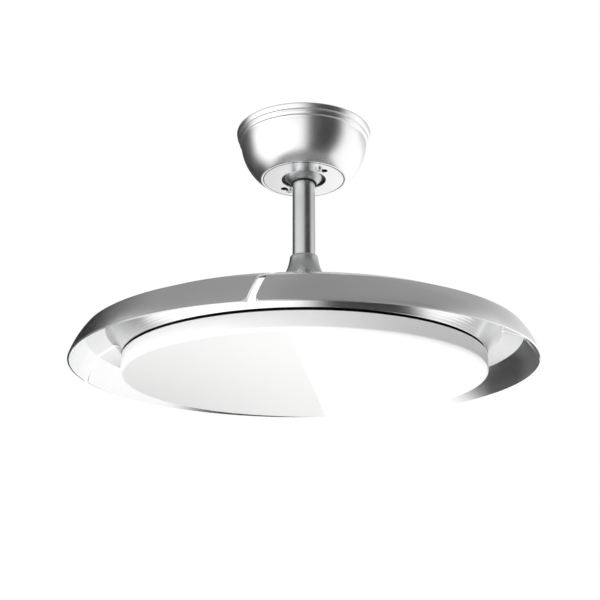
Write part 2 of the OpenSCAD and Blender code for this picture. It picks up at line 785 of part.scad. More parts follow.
module blade_dish() {
    color("#cfd1d4") hung() difference() {
        union() {
            rotate_extrude($fn = fine) {
                intersection() {
                    shell(dish_wall, -dish_t);
                    translate([0, dish_z]) square([2 * max(dish_r, dish_rim_r), dish_h - 0.6]);
                }
                translate([dish_centre_r, dish_z]) square([dish_r - dish_centre_r - 1, dish_t]);
                translate([rib_r - rib_t, floor_z - eps]) square([rib_t, plate_z - floor_z + eps]);
                translate([rib_r - eps, floor_z - eps]) square([rib_t, gear_z - face_gap - floor_z]);
            }
            at_pivots() pivot_boss();
            translate([0, 0, floor_z - eps]) {
                at_posts() cylinder(r = post_r, h = plate_z - floor_z + eps);
                around(stop_circle, 2, stop_a) cylinder(r = stop_r, h = plate_z - floor_z - 1);
            }
        }
        at_pivots() translate([0, 0, dish_z - 1]) cylinder(r = pivot_r + snug, h = boss_h + 5);
        translate([0, 0, dish_z - 1])
            around(motor_screw_circle, 6, 15) cylinder(r = screw_r + run_fit, h = dish_t + 2);
        translate([0, 0, plate_z - cover_screw_len + 0.4])
            at_posts() cylinder(r = screw_r + run_fit, h = cover_screw_len);
    }
}

// radius-to-half-width rule of an involute tooth, in degrees
function involute(c) = tan(acos(c)) * 180 / PI - acos(c);
function half_tooth(teeth, r) =
    let (pr = gear_m * teeth / 2, base = pr * cos(20), c = min(1, base / max(r, base)))
    90 / teeth - deg(backlash / 4, pr) + involute(cos(20)) - involute(c);

// the tooth's outline above its root circle
module tooth(teeth) {
    pr = gear_m * teeth / 2;
    steps = 4;
    flank = [for (i = [0:steps])
        let (r = pr - dedendum + (addendum + dedendum) * i / steps) [r, half_tooth(teeth, r)]];
    root = [pr - dedendum - 1, half_tooth(teeth, pr - dedendum)];
    polygon(concat([polar(root[0], -root[1])], [for (f = flank) polar(f[0], -f[1])],
                   [for (f = reverse(flank)) polar(f[0], f[1])], [polar(root[0], root[1])]));
}

module sync_ring() {
    half_span = 3;
    slot = sleeve_r + face_gap / 2;
    color("#d8d3c4") hung() translate([0, 0, gear_z]) difference() {
        linear_extrude(gear_h) {
            circle(r = ring_root_r, $fn = fine * 2);
            for (b = [0:blade_count - 1], k = [-half_span:half_span + ceil(ring_travel * ring_teeth / 360)])
                rotate(seam_a + pivot_lead + b * pitch + k * 360 / ring_teeth) tooth(ring_teeth);
        }
        translate([0, 0, -1]) cylinder(r = ring_in_r, h = gear_h + 2, $fn = fine);
        translate([0, 0, -1])
            for (s = [0, 180]) rotate(stop_a + s) {
                for (a = [0, ring_travel])
                    rotate(a) translate([stop_circle, 0, 0]) cylinder(r = slot, h = gear_h + 2);
                rotate_extrude(angle = ring_travel, $fn = fine)
                    translate([stop_circle - slot, 0]) square([2 * slot, gear_h + 2]);
            }
    }
}

module ring_stops() {
    color("#2b2b2c") hung() translate([0, 0, gear_z])
        around(stop_circle, 2, stop_a) ring(sleeve_r, stop_r + snug, plate_z - gear_z - 1.2);
}

module pinion() {
    color("#d8d3c4") hung() translate([pivot_circle, 0, 0]) difference() {
        translate([0, 0, gear_z]) linear_extrude(gear_h) {
            circle(r = pinion_pitch_r - dedendum);
            for (i = [0:pinion_teeth - 1]) rotate((i + 0.5) * 360 / pinion_teeth) tooth(pinion_teeth);
        }
        translate([0, 0, gear_z - 1]) cylinder(r = pivot_r + run_fit, h = gear_h + 2);
        for (s = [-1, 1])
            translate([0, s * dowel_off, gear_z - 1]) cylinder(r = dowel_r + snug, h = gear_h + 2);
    }
}

module pivot_pins() {
    color("#9da0a4") hung() at_pivots() difference() {
        translate([0, 0, dish_z]) cylinder(r = pivot_r, h = lug_top - dish_z - 0.05);
        translate([0, 0, lug_top - pivot_screw_len - 2])
            cylinder(r = pivot_screw_r + snug, h = pivot_screw_len + 4);
    }
}

module pivot_screws() {
    color("#8b8d90") hung() at_pivots() translate([0, 0, lug_top + 0.05])
        screw_down(pivot_screw_r, pivot_screw_len, pivot_screw_head_r, 2.2);
}

// torsion spring round each boss, its ends straight

function spring_path(n = spring_turns * 8) = concat(
    [polar(spring_r, 0) - [0, spring_leg]],
    [for (i = [0:n]) polar(spring_r, 45 * i)],
    [polar(spring_r, 45 * n) + left_of(polar(spring_leg, 45 * n))]);

module spring() {
    path = spring_path();
    last = len(path) - 1;
    rise = [for (i = [0:last]) min(max(i - 1, 0), last - 2) * spring_pitch / 8];
    dir = [for (i = [0:last]) unit(path[min(i + 1, last)] - path[max(i - 1, 0)])];
    points = [for (i = [0:last], k = [0:ring_sides - 1])
        let (a = k * 360 / ring_sides, side = left_of(dir[i]) * cos(a) * spring_wire)
        [path[i][0] + side[0], path[i][1] + side[1], rise[i] + sin(a) * spring_wire]];
    walls = [for (i = [0:last - 1], k = [0:ring_sides - 1])
        let (n = (k + 1) % ring_sides, a = i * ring_sides, b = a + ring_sides)
        each [[a + k, a + n, b + n], [a + k, b + n, b + k]]];
    caps = [[for (k = [ring_sides - 1:-1:0]) k], [for (k = [0:ring_sides - 1]) last * ring_sides + k]];
    polyhedron(points, concat(walls, caps));
}

module return_springs() {
    color("#8f9296") hung() at_pivots() translate([0, 0, floor_z + spring_wire + 0.1]) spring();
}

module gear_cover() {
    color("#c4c6c9") hung() difference() {
        translate([0, 0, plate_z]) cylinder(r = plate_r, h = plate_t, $fn = fine);
        translate([0, 0, plate_z - 1]) {
            cylinder(r = motor_r + 4, h = plate_t + 2, $fn = fine);
            at_pivots() cylinder(r = hub_r + 0.6, h = plate_t + 2);
            at_posts() cylinder(r = screw_r + run_fit, h = plate_t + 2);
            around(cover_screw_circle, 4, 45) cylinder(r = screw_r + snug, h = plate_t + 2);
        }
    }
}

module gear_cover_screws() {
    color("#8b8d90") hung() translate([0, 0, plate_top])
        at_posts() screw_down(screw_r, cover_screw_len, screw_head_r, 1.2);
}

// ---- blades ----
// the skirt's section, from the lower rim up to the shoulder
skirt = bow([blade_rim_r, rim_z], [shoulder_r + 0.8, shoulder_z - 1.4], -skirt_bulge, 8);
panel = [[dish_rim_r + 2, panel_top - 0.6], [dish_rim_r - 2, panel_top], [blade_in_r - 3, panel_top]];
blade_skin = concat(skirt, [[shoulder_r, shoulder_z - 0.3], [shoulder_r - 1, shoulder_z + 0.4]], panel);
lining = beside(concat([for (i = [0:len(skirt) - 2]) skirt[i]],
                       [[shoulder_r - 0.3, shoulder_z + 0.1]], panel), -blade_t);
flares = blade_rim_r > shoulder_r + 2;

// outline of a folded blade seen from above: root gap at angle 0, tip gap one pitch behind it.
// The gap's edges are straight on the skirt and lean on over the panel.
function skirt_r(up) = lookup(rim_z + up, [for (p = skirt) [p[1], p[0]]]);
function seam_point(r, lean, side, base = 0) = polar(r, base + deg(lean + side * seam_gap / 2, r));
function skirt_point(up, side, base = 0) = seam_point(skirt_r(up), seam_lean * up / skirt_h, side, base);
function skirt_line(shares, side, base = 0) =
    [for (t = shares) if (flares) skirt_point(skirt_h * t, side, base)];
function panel_line(side, base = 0) =
    [seam_point(bend_r, seam_lean, side, base), seam_point(crest_r, seam_lean + seam_lean_panel, side, base),
     seam_point(tip_in_r - 1, seam_lean + seam_lean_panel, side, base)];

pivot_point = polar(pivot_circle, pivot_lead);
outside_r = max(blade_rim_r, shoulder_r) + 3;
bend_r = min(shoulder_r + 0.4, blade_rim_r - 4);
crest_r = max(dish_rim_r + 0.7, tip_in_r + 1);
climb = [0.3, 0.45, 0.6, 0.75, 0.9];
step_a = 4;
ease_from = -50;
ease_to = -pitch + tip_len;
tip_points = 3;

function ease(t) = t * t * (3 - 2 * t);
function inner_edge(a) =
    blade_in_r + (tip_in_r - blade_in_r) * ease(max(0, min(1, (a - ease_from) / (ease_to - ease_from))));

blade_outline = concat(
    [for (a = [-pitch + 3:(pitch - 6) / 14:-2.9]) polar(outside_r, a)],
    [for (r = [outside_r, blade_rim_r + 0.3]) polar(r, -deg(seam_gap / 2 + root_corner, blade_rim_r))],
    [if (flares) skirt_point(root_corner_h, -1)],
    skirt_line(climb, -1), panel_line(-1),
    [for (a = [5:15:185]) pivot_point + polar(lug_r, pivot_lead + a)],
    [for (a = [-5.5:-step_a:ease_to]) polar(inner_edge(a), a)],
    [for (i = [0.2:tip_points - 1]) polar(tip_in_r, ease_to - i * tip_len / tip_points)],
    reverse(panel_line(1, -pitch)), skirt_line(reverse(climb), 1, -pitch),
    [for (t = [90:-22.5:20])
        if (flares) skirt_point(tip_corner_h * (1 - cos(t)), 1, -pitch)
            + polar(tip_corner * (1 - sin(t)), -pitch + 90)],
    [for (r = [blade_rim_r + 0.3, outside_r])
        polar(r, -pitch + deg(seam_gap / 2 + tip_corner, blade_rim_r))]);

module blade() {
    color("#8c8e91") hung() difference() {
        union() {
            intersection() {
                rotate(-pitch) rotate_extrude(angle = pitch + 30, $fn = fine * 2) {
                    polygon(concat(blade_skin, reverse(lining)));
                    for (r = blade_ribs) translate([r, panel_top - eps]) square([blade_rib_t, blade_rib_h]);
                }
                translate([0, 0, rim_z - 1]) linear_extrude(lug_top) polygon(blade_outline);
            }
            translate([pivot_point[0], pivot_point[1], 0]) {
                translate([0, 0, hub_z]) cylinder(r = hub_r, h = lug_top - hub_z);
                translate([0, 0, panel_top - eps]) cylinder(r = lug_boss_r, h = lug_top - panel_top + eps);
                rotate(pivot_lead) for (s = [-1, 1])
                    translate([0, s * dowel_off, gear_z + 0.5]) cylinder(r = dowel_r, h = gear_h);
            }
        }
        translate([pivot_point[0], pivot_point[1], gear_z]) cylinder(r = pivot_r + run_fit, h = lug_top);
    }
}

module placed_blade(i) {
    rotate(seam_a + (i - 1) * pitch) blade();
}

module placed_gear(i) {
    rotate(seam_a + pivot_lead + (i - 1) * pitch) pinion();
}

module blade_1() { placed_blade(1); }
module blade_2() { placed_blade(2); }
module blade_3() { placed_blade(3); }
module blade_4() { placed_blade(4); }
module blade_gear_1() { placed_gear(1); }
module blade_gear_2() { placed_gear(2); }
module blade_gear_3() { placed_gear(3); }
module blade_gear_4() { placed_gear(4); }

// ---- lamp ----
module lamp_bracket() {
    color("#8e9194") hung() difference() {
        translate([0, 0, bracket_z]) cylinder(r = lamp_bracket_r, h = bracket_plate_t);
        translate([0, 0, bracket_z - 1]) cylinder(r = shaft_r + snug, h = 4);
        translate([0, 0, bracket_z - 1])
            around(lamp_screw_circle, 3, lamp_screw_start) cylinder(r = screw_r + run_fit, h = 4);
    }
}

module shaft_nut() {
    color("#9da0a4") hung() translate([0, 0, bracket_z - nut_h]) difference() {
        cylinder(r = nut_r, h = nut_h, $fn = 6);
        translate([0, 0, -1]) cylinder(r = shaft_r + snug, h = nut_h + 2);
    }
}

module lamp_pan() {
    color("#3a3c3e") hung() difference() {
        translate([0, 0, bracket_z - pan_t]) cylinder(r = pan_r, h = pan_t, $fn = fine);
        translate([0, 0, 0]) cylinder(r = nut_r + 3, h = bracket_z + 1);
        around(lamp_screw_circle, 3, lamp_screw_start) cylinder(r = screw_r + run_fit, h = bracket_z + 1);
    }
}

module lamp_screws() {
    color("#8b8d90") hung() translate([0, 0, bracket_z - pan_t])
        around(lamp_screw_circle, 3, lamp_screw_start)
            screw_up(screw_r, pan_t + bracket_plate_t, screw_head_r, screw_head_h);
}

module led_board() {
    color("#f3f3f1") hung() ring(board_r, board_in_r, board_t, bracket_z - pan_t - board_t);
}

module leds() {
    color("#f1dc6a") hung() translate([0, 0, bracket_z - pan_t - board_t])
        for (r = led_row_r) around(r, round(2 * PI * r / led_pitch))
            translate([-led_size / 2, -led_size / 2, -1]) cube([led_size, led_size, 1]);
}

module led_driver() {
    color("#e9e9e6") hung()
        translate([nut_r + 7, -driver_size[1] / 2, bracket_z - pan_t - driver_size[2]]) difference() {
            cube(driver_size);
            for (x = [rib_gap:rib_gap:driver_size[0] - rib_gap])
                translate([x, -1, -1]) cube([rib_gap / 4, driver_size[1] + 2, 2.2]);
        }
}

module at_clips() {
    for (i = [0:3]) rotate(45 + i * 90) children();
}

module diffuser_clips() {
    clip_t = 1.2;
    color("#b8babd") hung() at_clips() rotate(-2) {
        rotate_extrude(angle = 4, $fn = fine) translate([clip_r, tab_z - clip_t - 0.1])
            square([clip_t, bracket_z - pan_t - tab_z + clip_t + 0.1]);
        rotate_extrude(angle = 4, $fn = fine) translate([clip_r, tab_z - clip_t - 0.1]) square([6, clip_t]);
    }
}

module diffuser() {
    inner_r = lamp_r - diffuser_t;
    inner_edge_r = diffuser_edge - 1;
    corner = [for (a = [-90:15:0]) [lamp_r - diffuser_edge, diffuser_edge] + polar(diffuser_edge, a)];
    hollow = [for (a = [0:-15:-90])
        [inner_r - inner_edge_r, diffuser_t + inner_edge_r] + polar(inner_edge_r, a)];
    color("#f7f7f5") hung() {
        rotate_extrude($fn = fine)
            polygon(concat([[0, 0]], corner, [[lamp_r, lamp_h], [inner_r, lamp_h]],
                           hollow, [[0, diffuser_t]]));
        at_clips() rotate(-2) rotate_extrude(angle = 4, $fn = fine)
            translate([clip_r + 2.2, tab_z]) square([inner_r - clip_r - 2.1, tab_t]);
    }
}

ceiling_bracket();
canopy();
canopy_cover();
canopy_screws();
receiver_box();
receiver_screws();
terminal_block();
hanger_ball();
downrod();
ball_pin();
ball_set_screw();
yoke_cover();
motor_yoke();
yoke_pin();
cotter_clip();
yoke_screws();
motor_shaft();
bearing_inner_races();
stator_core();
stator_windings();
lamp_bracket();
shaft_nut();
lamp_pan();
lamp_screws();
led_board();
leds();
led_driver();
diffuser_clips();
diffuser();
blade_dish();
motor_base();
motor_housing();
motor_screws();
magnets();
bearing_outer_races();
bearing_balls();
gear_cover();
gear_cover_screws();
motor_cover();
motor_cover_screws();
pivot_pins();
pivot_screws();
return_springs();
ring_stops();
sync_ring();
blade_1();
blade_2();
blade_3();
blade_4();
blade_gear_1();
blade_gear_2();
blade_gear_3();
blade_gear_4();
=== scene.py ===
"""A retractable blade ceiling fan with a round opal lamp, dressed for a plain studio picture."""

import json
import logging
import math
from dataclasses import dataclass, field
from enum import Enum
from typing import Callable, Sequence, Union

import bpy
from mathutils import Matrix, Vector


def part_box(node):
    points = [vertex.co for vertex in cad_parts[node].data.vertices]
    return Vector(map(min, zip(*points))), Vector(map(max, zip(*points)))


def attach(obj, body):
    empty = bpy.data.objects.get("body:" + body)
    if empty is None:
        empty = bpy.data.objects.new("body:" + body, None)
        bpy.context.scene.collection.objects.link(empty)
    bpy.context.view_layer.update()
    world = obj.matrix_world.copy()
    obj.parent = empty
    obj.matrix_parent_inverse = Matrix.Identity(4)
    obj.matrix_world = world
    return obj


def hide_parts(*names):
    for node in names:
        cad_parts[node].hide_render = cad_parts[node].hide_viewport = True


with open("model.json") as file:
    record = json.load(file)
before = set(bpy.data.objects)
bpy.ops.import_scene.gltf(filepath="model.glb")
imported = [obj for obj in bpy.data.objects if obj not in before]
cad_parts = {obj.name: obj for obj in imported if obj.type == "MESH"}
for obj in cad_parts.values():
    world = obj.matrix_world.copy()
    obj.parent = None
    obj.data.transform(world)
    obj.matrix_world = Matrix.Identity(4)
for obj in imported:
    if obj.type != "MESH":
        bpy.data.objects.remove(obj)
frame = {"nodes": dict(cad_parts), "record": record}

logging.basicConfig(level=logging.INFO, format="%(message)s")
log = logging.getLogger("fan")

MM = 0.001
POLE_R = 0.01  # radius that stands for a point on the axis, in millimetres
MERGE = 0.03  # points closer than this are one, in millimetres
SMOOTH_ANGLE = math.radians(35.0)
SQUARE = 0.9  # a face is square to an axis from this cosine up
WHITE = (1.0, 1.0, 1.0, 1.0)
Pair = tuple[float, float]
Triple = tuple[float, float, float]
Point = Pair
Colour = Triple
Number = Union[float, int, "Wire"]
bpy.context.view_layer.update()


# ---------------------------------------------------------------- shader maths


class Wire:
    """An output socket of a shader tree that Python's operators work on."""

    def __init__(self, tree: "Tree", socket: bpy.types.NodeSocket) -> None:
        """Keeps the tree and the socket.

        Args:
            tree: The tree that the socket belongs to.
            socket: The output socket.
        """
        self.tree = tree
        self.socket = socket

    def maths(self, operation: str, *others: Number) -> "Wire":
        """Puts this wire and others through a Math node.

        Args:
            operation: The Math node's operation.
            *others: The other operands, in order.

        Returns:
            The Math node's result.
        """
        values = dict(enumerate((self, *others)))
        return self.tree.add("ShaderNodeMath", {"operation": operation}, values)

    def __add__(self, other: Number) -> "Wire":
        """Returns self + other."""
        return self.maths("ADD", other)

    def __mul__(self, other: Number) -> "Wire":
        """Returns self * other."""
        return self.maths("MULTIPLY", other)

    __radd__ = __add__
    __rmul__ = __mul__

    def __sub__(self, other: Number) -> "Wire":
        """Returns self - other."""
        return self.maths("SUBTRACT", other)

    def __rsub__(self, other: Number) -> "Wire":
        """Returns other - self."""
        return (self * -1.0) + other

    def clamped(self, low: float = 0.0, high: float = 1.0) -> "Wire":
        """Returns this wire kept between low and high."""
        return self.maths("MAXIMUM", low).maths("MINIMUM", high)

    def step_over(self, start: float, end: float) -> "Wire":
        """Makes a smooth step.

        Args:
            start: The value at which the step begins.
            end: The value at which it ends.

        Returns:
            0 below start, 1 above end and a smooth rise between them.
        """
        settings = {"interpolation_type": "SMOOTHSTEP"}
        values = {"Value": self, "From Min": start, "From Max": end}
        return self.tree.add("ShaderNodeMapRange", settings, values)


class Tree:
    """The node tree of one material or of the world."""

    def __init__(self, owner: Union[bpy.types.Material, bpy.types.World]) -> None:
        """Empties the owner's tree.

        Args:
            owner: The material or the world.
        """
        owner.use_nodes = True
        self.nodes = owner.node_tree.nodes
        self.links = owner.node_tree.links
        self.nodes.clear()

    def add(
        self,
        kind: str,
        settings: dict | None = None,
        values: dict | None = None,
        out: Union[int, str] = 0,
    ) -> Wire:
        """Adds a node, sets it, then fills or links its inputs.

        Args:
            kind: The node's type.
            settings: The node's own properties.
            values: The inputs by name or place, each a wire, number or tuple.
            out: The output to return, by name or place.

        Returns:
            The chosen output.
        """
        node = self.nodes.new(kind)
        for name, value in (settings or {}).items():
            setattr(node, name, value)
        for name, value in (values or {}).items():
            if isinstance(value, Wire):
                self.links.new(value.socket, node.inputs[name])
            else:
                node.inputs[name].default_value = value
        return Wire(self, node.outputs[out]) if len(node.outputs) else Wire(self, None)

    def place(self) -> Wire:
        """Returns the point on the piece, in metres, in the fan's own frame."""
        return self.add("ShaderNodeTexCoord", out="Object")

    def noise(self, scale: float, detail: float = 3.0, stretch: Triple = (1, 1, 1)) -> Wire:
        """Makes noise that is fixed to the piece.

        Args:
            scale: Waves per metre.
            detail: Octaves.
            stretch: How much finer the noise is along X, Y and Z.

        Returns:
            Noise from 0 to 1.
        """
        spot = self.add("ShaderNodeMapping", {}, {"Vector": self.place(), "Scale": stretch})
        values = {"Vector": spot, "Scale": scale, "Detail": detail}
        return self.add("ShaderNodeTexNoise", {}, values)

    def vector_maths(self, operation: str, first: Wire, second: Triple, out: str) -> Wire:
        """Puts two vectors through a Vector Math node.

        Args:
            operation: The node's operation.
            first: The first vector.
            second: The second vector.
            out: The output to return: Vector or Value.

        Returns:
            The chosen output.
        """
        values = {0: first, 1: second}
        return self.add("ShaderNodeVectorMath", {"operation": operation}, values, out)

    def radius(self) -> Wire:
        """Returns the distance from the fan's axis, in metres."""
        flat = self.vector_maths("MULTIPLY", self.place(), (1.0, 1.0, 0.0), "Vector")
        return self.vector_maths("DISTANCE", flat, (0.0, 0.0, 0.0), "Value")

    def axis(self, name: str) -> Wire:
        """Returns one coordinate of the point on the piece: X, Y or Z."""
        return self.add("ShaderNodeSeparateXYZ", {}, {0: self.place()}, out=name)

    def blend(self, share: Number, first: Colour, second: Colour) -> Wire:
        """Mixes two colours.

        Args:
            share: 0 for the first and 1 for the second.
            first: The first colour.
            second: The second colour.

        Returns:
            The mixed colour.
        """
        values = {0: share, 6: (*first, 1.0), 7: (*second, 1.0)}
        return self.add("ShaderNodeMix", {"data_type": "RGBA"}, values, out=2)

    def bump(self, height: Wire, slope: float, waves: float) -> Wire:
        """Turns a height into a normal.

        Args:
            height: The height, from 0 to 1.
            slope: How steep its waves are.
            waves: How many of them there are to the metre.

        Returns:
            The normal.
        """
        values = {"Height": height, "Distance": slope / (2.0 * math.pi * waves)}
        return self.add("ShaderNodeBump", {}, values, out="Normal")


class Role(Enum):
    """What a piece of metal has been through: its marks' waves to the metre, octaves and slope."""

    POLISHED = (45.0, 1.0, 0.006)
    SATIN = (160.0, 1.0, 0.004)
    TURNED = (830.0, 1.0, 0.05)
    CAST = (700.0, 2.0, 0.2)
    STAMPED = (120.0, 2.0, 0.03)


def shade(colour: Colour, factor: float) -> Colour:
    """Returns a colour made lighter or darker by a factor."""
    return tuple(min(1.0, channel * factor) for channel in colour)


@dataclass(frozen=True)
class Finish:
    """A surface finish, made into a material once and shared; its waves are to the metre."""

    name: str
    colour: Colour

    def surface(self, tree: Tree) -> dict:
        """Draws the shader's inputs; each finish has its own.

        Args:
            tree: The tree to draw them in.

        Returns:
            The shader's inputs by name.
        """
        raise NotImplementedError

    def material(self) -> bpy.types.Material:
        """Makes the finish's material when it is first asked for.

        Returns:
            The material, shared by all that have the finish.
        """
        made = bpy.data.materials.get(self.name + ".finish")
        if made is None:
            made = bpy.data.materials.new(self.name + ".finish")
            tree = Tree(made)
            shader = tree.add("ShaderNodeBsdfPrincipled", {}, self.surface(tree))
            tree.add("ShaderNodeOutputMaterial", {}, {"Surface": shader})
        return made


@dataclass(frozen=True)
class Metal(Finish):
    """Bare or plated metal."""

    roughness: float = 0.2
    role: Role = Role.SATIN
    smudge_waves: float = 14.0
    grain_waves: float = 1500.0
    smudge_share: float = 0.7
    smudge_rough: float = 0.4
    marks_rough: float = 0.3
    shades: Pair = (0.96, 1.03)
    tint_span: Pair = (0.25, 0.75)
    least_rough: float = 0.03
    rings: float = 5200.0

    def surface(self, tree: Tree) -> dict:
        """Draws metal with smudges and the marks of how it was made.

        Args:
            tree: The tree to draw in.

        Returns:
            The shader's inputs by name.
        """
        smudge = tree.noise(self.smudge_waves, 4.0)
        marks, slope, waves = self._marks(tree)
        grain = tree.noise(self.grain_waves, 1.0)
        tint = smudge * self.smudge_share + grain * (1.0 - self.smudge_share)
        rough = (smudge - 0.5) * (self.smudge_rough * self.roughness)
        rough = rough + (marks - 0.5) * (self.marks_rough * self.roughness)
        dark, light = (shade(self.colour, factor) for factor in self.shades)
        return {
            "Base Color": tree.blend(tint.step_over(*self.tint_span), dark, light),
            "Metallic": 1.0,
            "Roughness": (rough + self.roughness).clamped(self.least_rough),
            "Normal": tree.bump(marks, slope, waves),
        }

    def _marks(self, tree: Tree) -> tuple[Wire, float, float]:
        """Draws the marks of how the metal was made.

        Args:
            tree: The tree to draw in.

        Returns:
            The height of the marks, their slope and their waves to the metre.
        """
        waves, octaves, slope = self.role.value
        if self.role is Role.TURNED:
            return (tree.radius() * self.rings).maths("SINE") * 0.5 + 0.5, slope, waves
        return tree.noise(waves, octaves), slope, waves


@dataclass(frozen=True)
class Paint(Finish):
    """A sprayed coat with a fine fleck in it."""

    roughness: float = 0.4
    peel: float = 0.08
    cloud_waves: float = 9.0
    fleck_waves: float = 2600.0
    peel_waves: float = 420.0
    cloud_share: float = 0.35
    cloud_rough: float = 0.12
    fleck_rough: float = 0.1
    shades: Pair = (0.9, 1.1)

    def surface(self, tree: Tree) -> dict:
        """Draws paint with orange peel, fleck and a little dust.

        Args:
            tree: The tree to draw in.

        Returns:
            The shader's inputs by name.
        """
        cloud = tree.noise(self.cloud_waves, 4.0)
        fleck = tree.noise(self.fleck_waves, 1.0)
        peel = tree.noise(self.peel_waves, 2.0)
        tint = cloud * self.cloud_share + fleck * (1.0 - self.cloud_share)
        rough = (cloud - 0.5) * self.cloud_rough + (fleck - 0.5) * self.fleck_rough
        dark, light = (shade(self.colour, factor) for factor in self.shades)
        return {
            "Base Color": tree.blend(tint, dark, light),
            "Roughness": (rough + self.roughness).clamped(),
            "Normal": tree.bump(peel, self.peel, self.peel_waves),
        }


@dataclass(frozen=True)
class Moulded(Finish):
    """Moulded plastic or rubber with a fine skin."""

    roughness: float = 0.45
    grain: float = 1400.0
    slope: float = 0.1
    flow_waves: float = 24.0
    flow_stretch: Triple = (1.0, 1.0, 2.5)
    skin_rough: float = 0.15
    shades: Pair = (0.95, 1.04)

    def surface(self, tree: Tree) -> dict:
        """Draws plastic with a fine grain and faint flow marks.

        Args:
            tree: The tree to draw in.

        Returns:
            The shader's inputs by name.
        """
        flow = tree.noise(self.flow_waves, 3.0, self.flow_stretch)
        skin = tree.noise(self.grain, 2.0)
        dark, light = (shade(self.colour, factor) for factor in self.shades)
        return {
            "Base Color": tree.blend(flow, dark, light),
            "Roughness": ((skin - 0.5) * self.skin_rough + self.roughness).clamped(),
            "Normal": tree.bump(skin, self.slope, self.grain),
        }


@dataclass(frozen=True)
class Striped(Finish):
    """Something built up of fine layers or turns, with a stripe along one direction."""

    second: Colour = (0.2, 0.2, 0.2)
    pitch: float = 0.0005
    along: str = "Z"
    roughness: float = 0.4
    wander_waves: float = 90.0
    wander_rough: float = 0.2
    stripe_share: float = 0.75
    slope: float = 0.5

    def surface(self, tree: Tree) -> dict:
        """Draws stripes in colour, roughness and height.

        Args:
            tree: The tree to draw in.

        Returns:
            The shader's inputs by name.
        """
        across = tree.radius() if self.along == "R" else tree.axis(self.along)
        wave = (across * (2.0 * math.pi / self.pitch)).maths("SINE") * 0.5 + 0.5
        wander = tree.noise(self.wander_waves, 3.0)
        mixed = (wave * self.stripe_share + wander * (1.0 - self.stripe_share)).clamped()
        return {
            "Base Color": tree.blend(mixed, self.second, self.colour),
            "Metallic": 1.0,
            "Roughness": ((wander - 0.5) * self.wander_rough + self.roughness).clamped(),
            "Normal": tree.bump(wave, self.slope, 1.0 / self.pitch),
        }


@dataclass(frozen=True)
class Opal(Finish):
    """The lamp's milky acrylic, faintly lit from inside, with painted shade over one half of its
    face.
    """

    glow: float = 0.27
    wall_glow: float = 0.1
    # tones of the painted shade on the face's dim half, at its near (-Y) and far (+Y) edges
    near_shade_tone: float = 0.975
    far_shade_tone: float = 0.855
    reach: float = 0.2
    wall_z: float = -0.296
    edge_blur: float = 0.003
    line_start: Point = (-0.0148, -0.198)
    line_end: Point = (0.0278, 0.2018)
    line_blur: float = 0.0005
    haze_waves: float = 30.0
    haze_depth: float = 0.01
    skin_waves: float = 300.0
    skin_slope: float = 0.01
    skin_rough: float = 0.06
    roughness: float = 0.32
    lamp_white: Colour = (1.0, 0.995, 0.985)

    def surface(self, tree: Tree) -> dict:
        """Draws smooth acrylic with painted shade on its face on one side of a line, deeper towards
        +Y, which dims its glow there too.

        Args:
            tree: The tree to draw in.

        Returns:
            The shader's inputs by name.
        """
        across = Vector(self.line_end) - Vector(self.line_start)
        normal = Vector((across.y, -across.x)).normalized()
        facing = (normal.x, normal.y, 0.0)
        side = tree.vector_maths("DOT_PRODUCT", tree.place(), facing, "Value")
        beyond = side - normal.dot(Vector(self.line_start))
        # painted shade: the face is darker on the -X side of the line, more so towards +Y
        shaded_half = 1.0 - beyond.step_over(-self.line_blur, self.line_blur)
        face = 1.0 - tree.axis("Z").step_over(self.wall_z - self.edge_blur, self.wall_z)
        depth = self.near_shade_tone - self.far_shade_tone
        shade_falloff = tree.axis("Y").step_over(-self.reach, self.reach) * depth
        lit = face * (1.0 - self.wall_glow) + self.wall_glow
        haze = tree.noise(self.haze_waves, 3.0)
        skin = tree.noise(self.skin_waves, 2.0)
        # tone is 1 less the painted shade, with faint random haze; it darkens both the colour and
        # the glow
        tone = 1.0 - shaded_half * face * (shade_falloff + (1.0 - self.near_shade_tone))
        tone = (tone + (haze - 0.5) * self.haze_depth).clamped()
        black = (0.0, 0.0, 0.0)
        return {
            "Base Color": tree.blend(tone, black, self.colour),
            "Emission Color": tree.blend(tone * lit, black, self.lamp_white),
            "Emission Strength": self.glow,
            "Roughness": ((skin - 0.5) * self.skin_rough + self.roughness).clamped(),
            "Normal": tree.bump(skin, self.skin_slope, self.skin_waves),
        }


# ---------------------------------------------------------------- finishes

BRIGHT = (0.93, 0.932, 0.935)

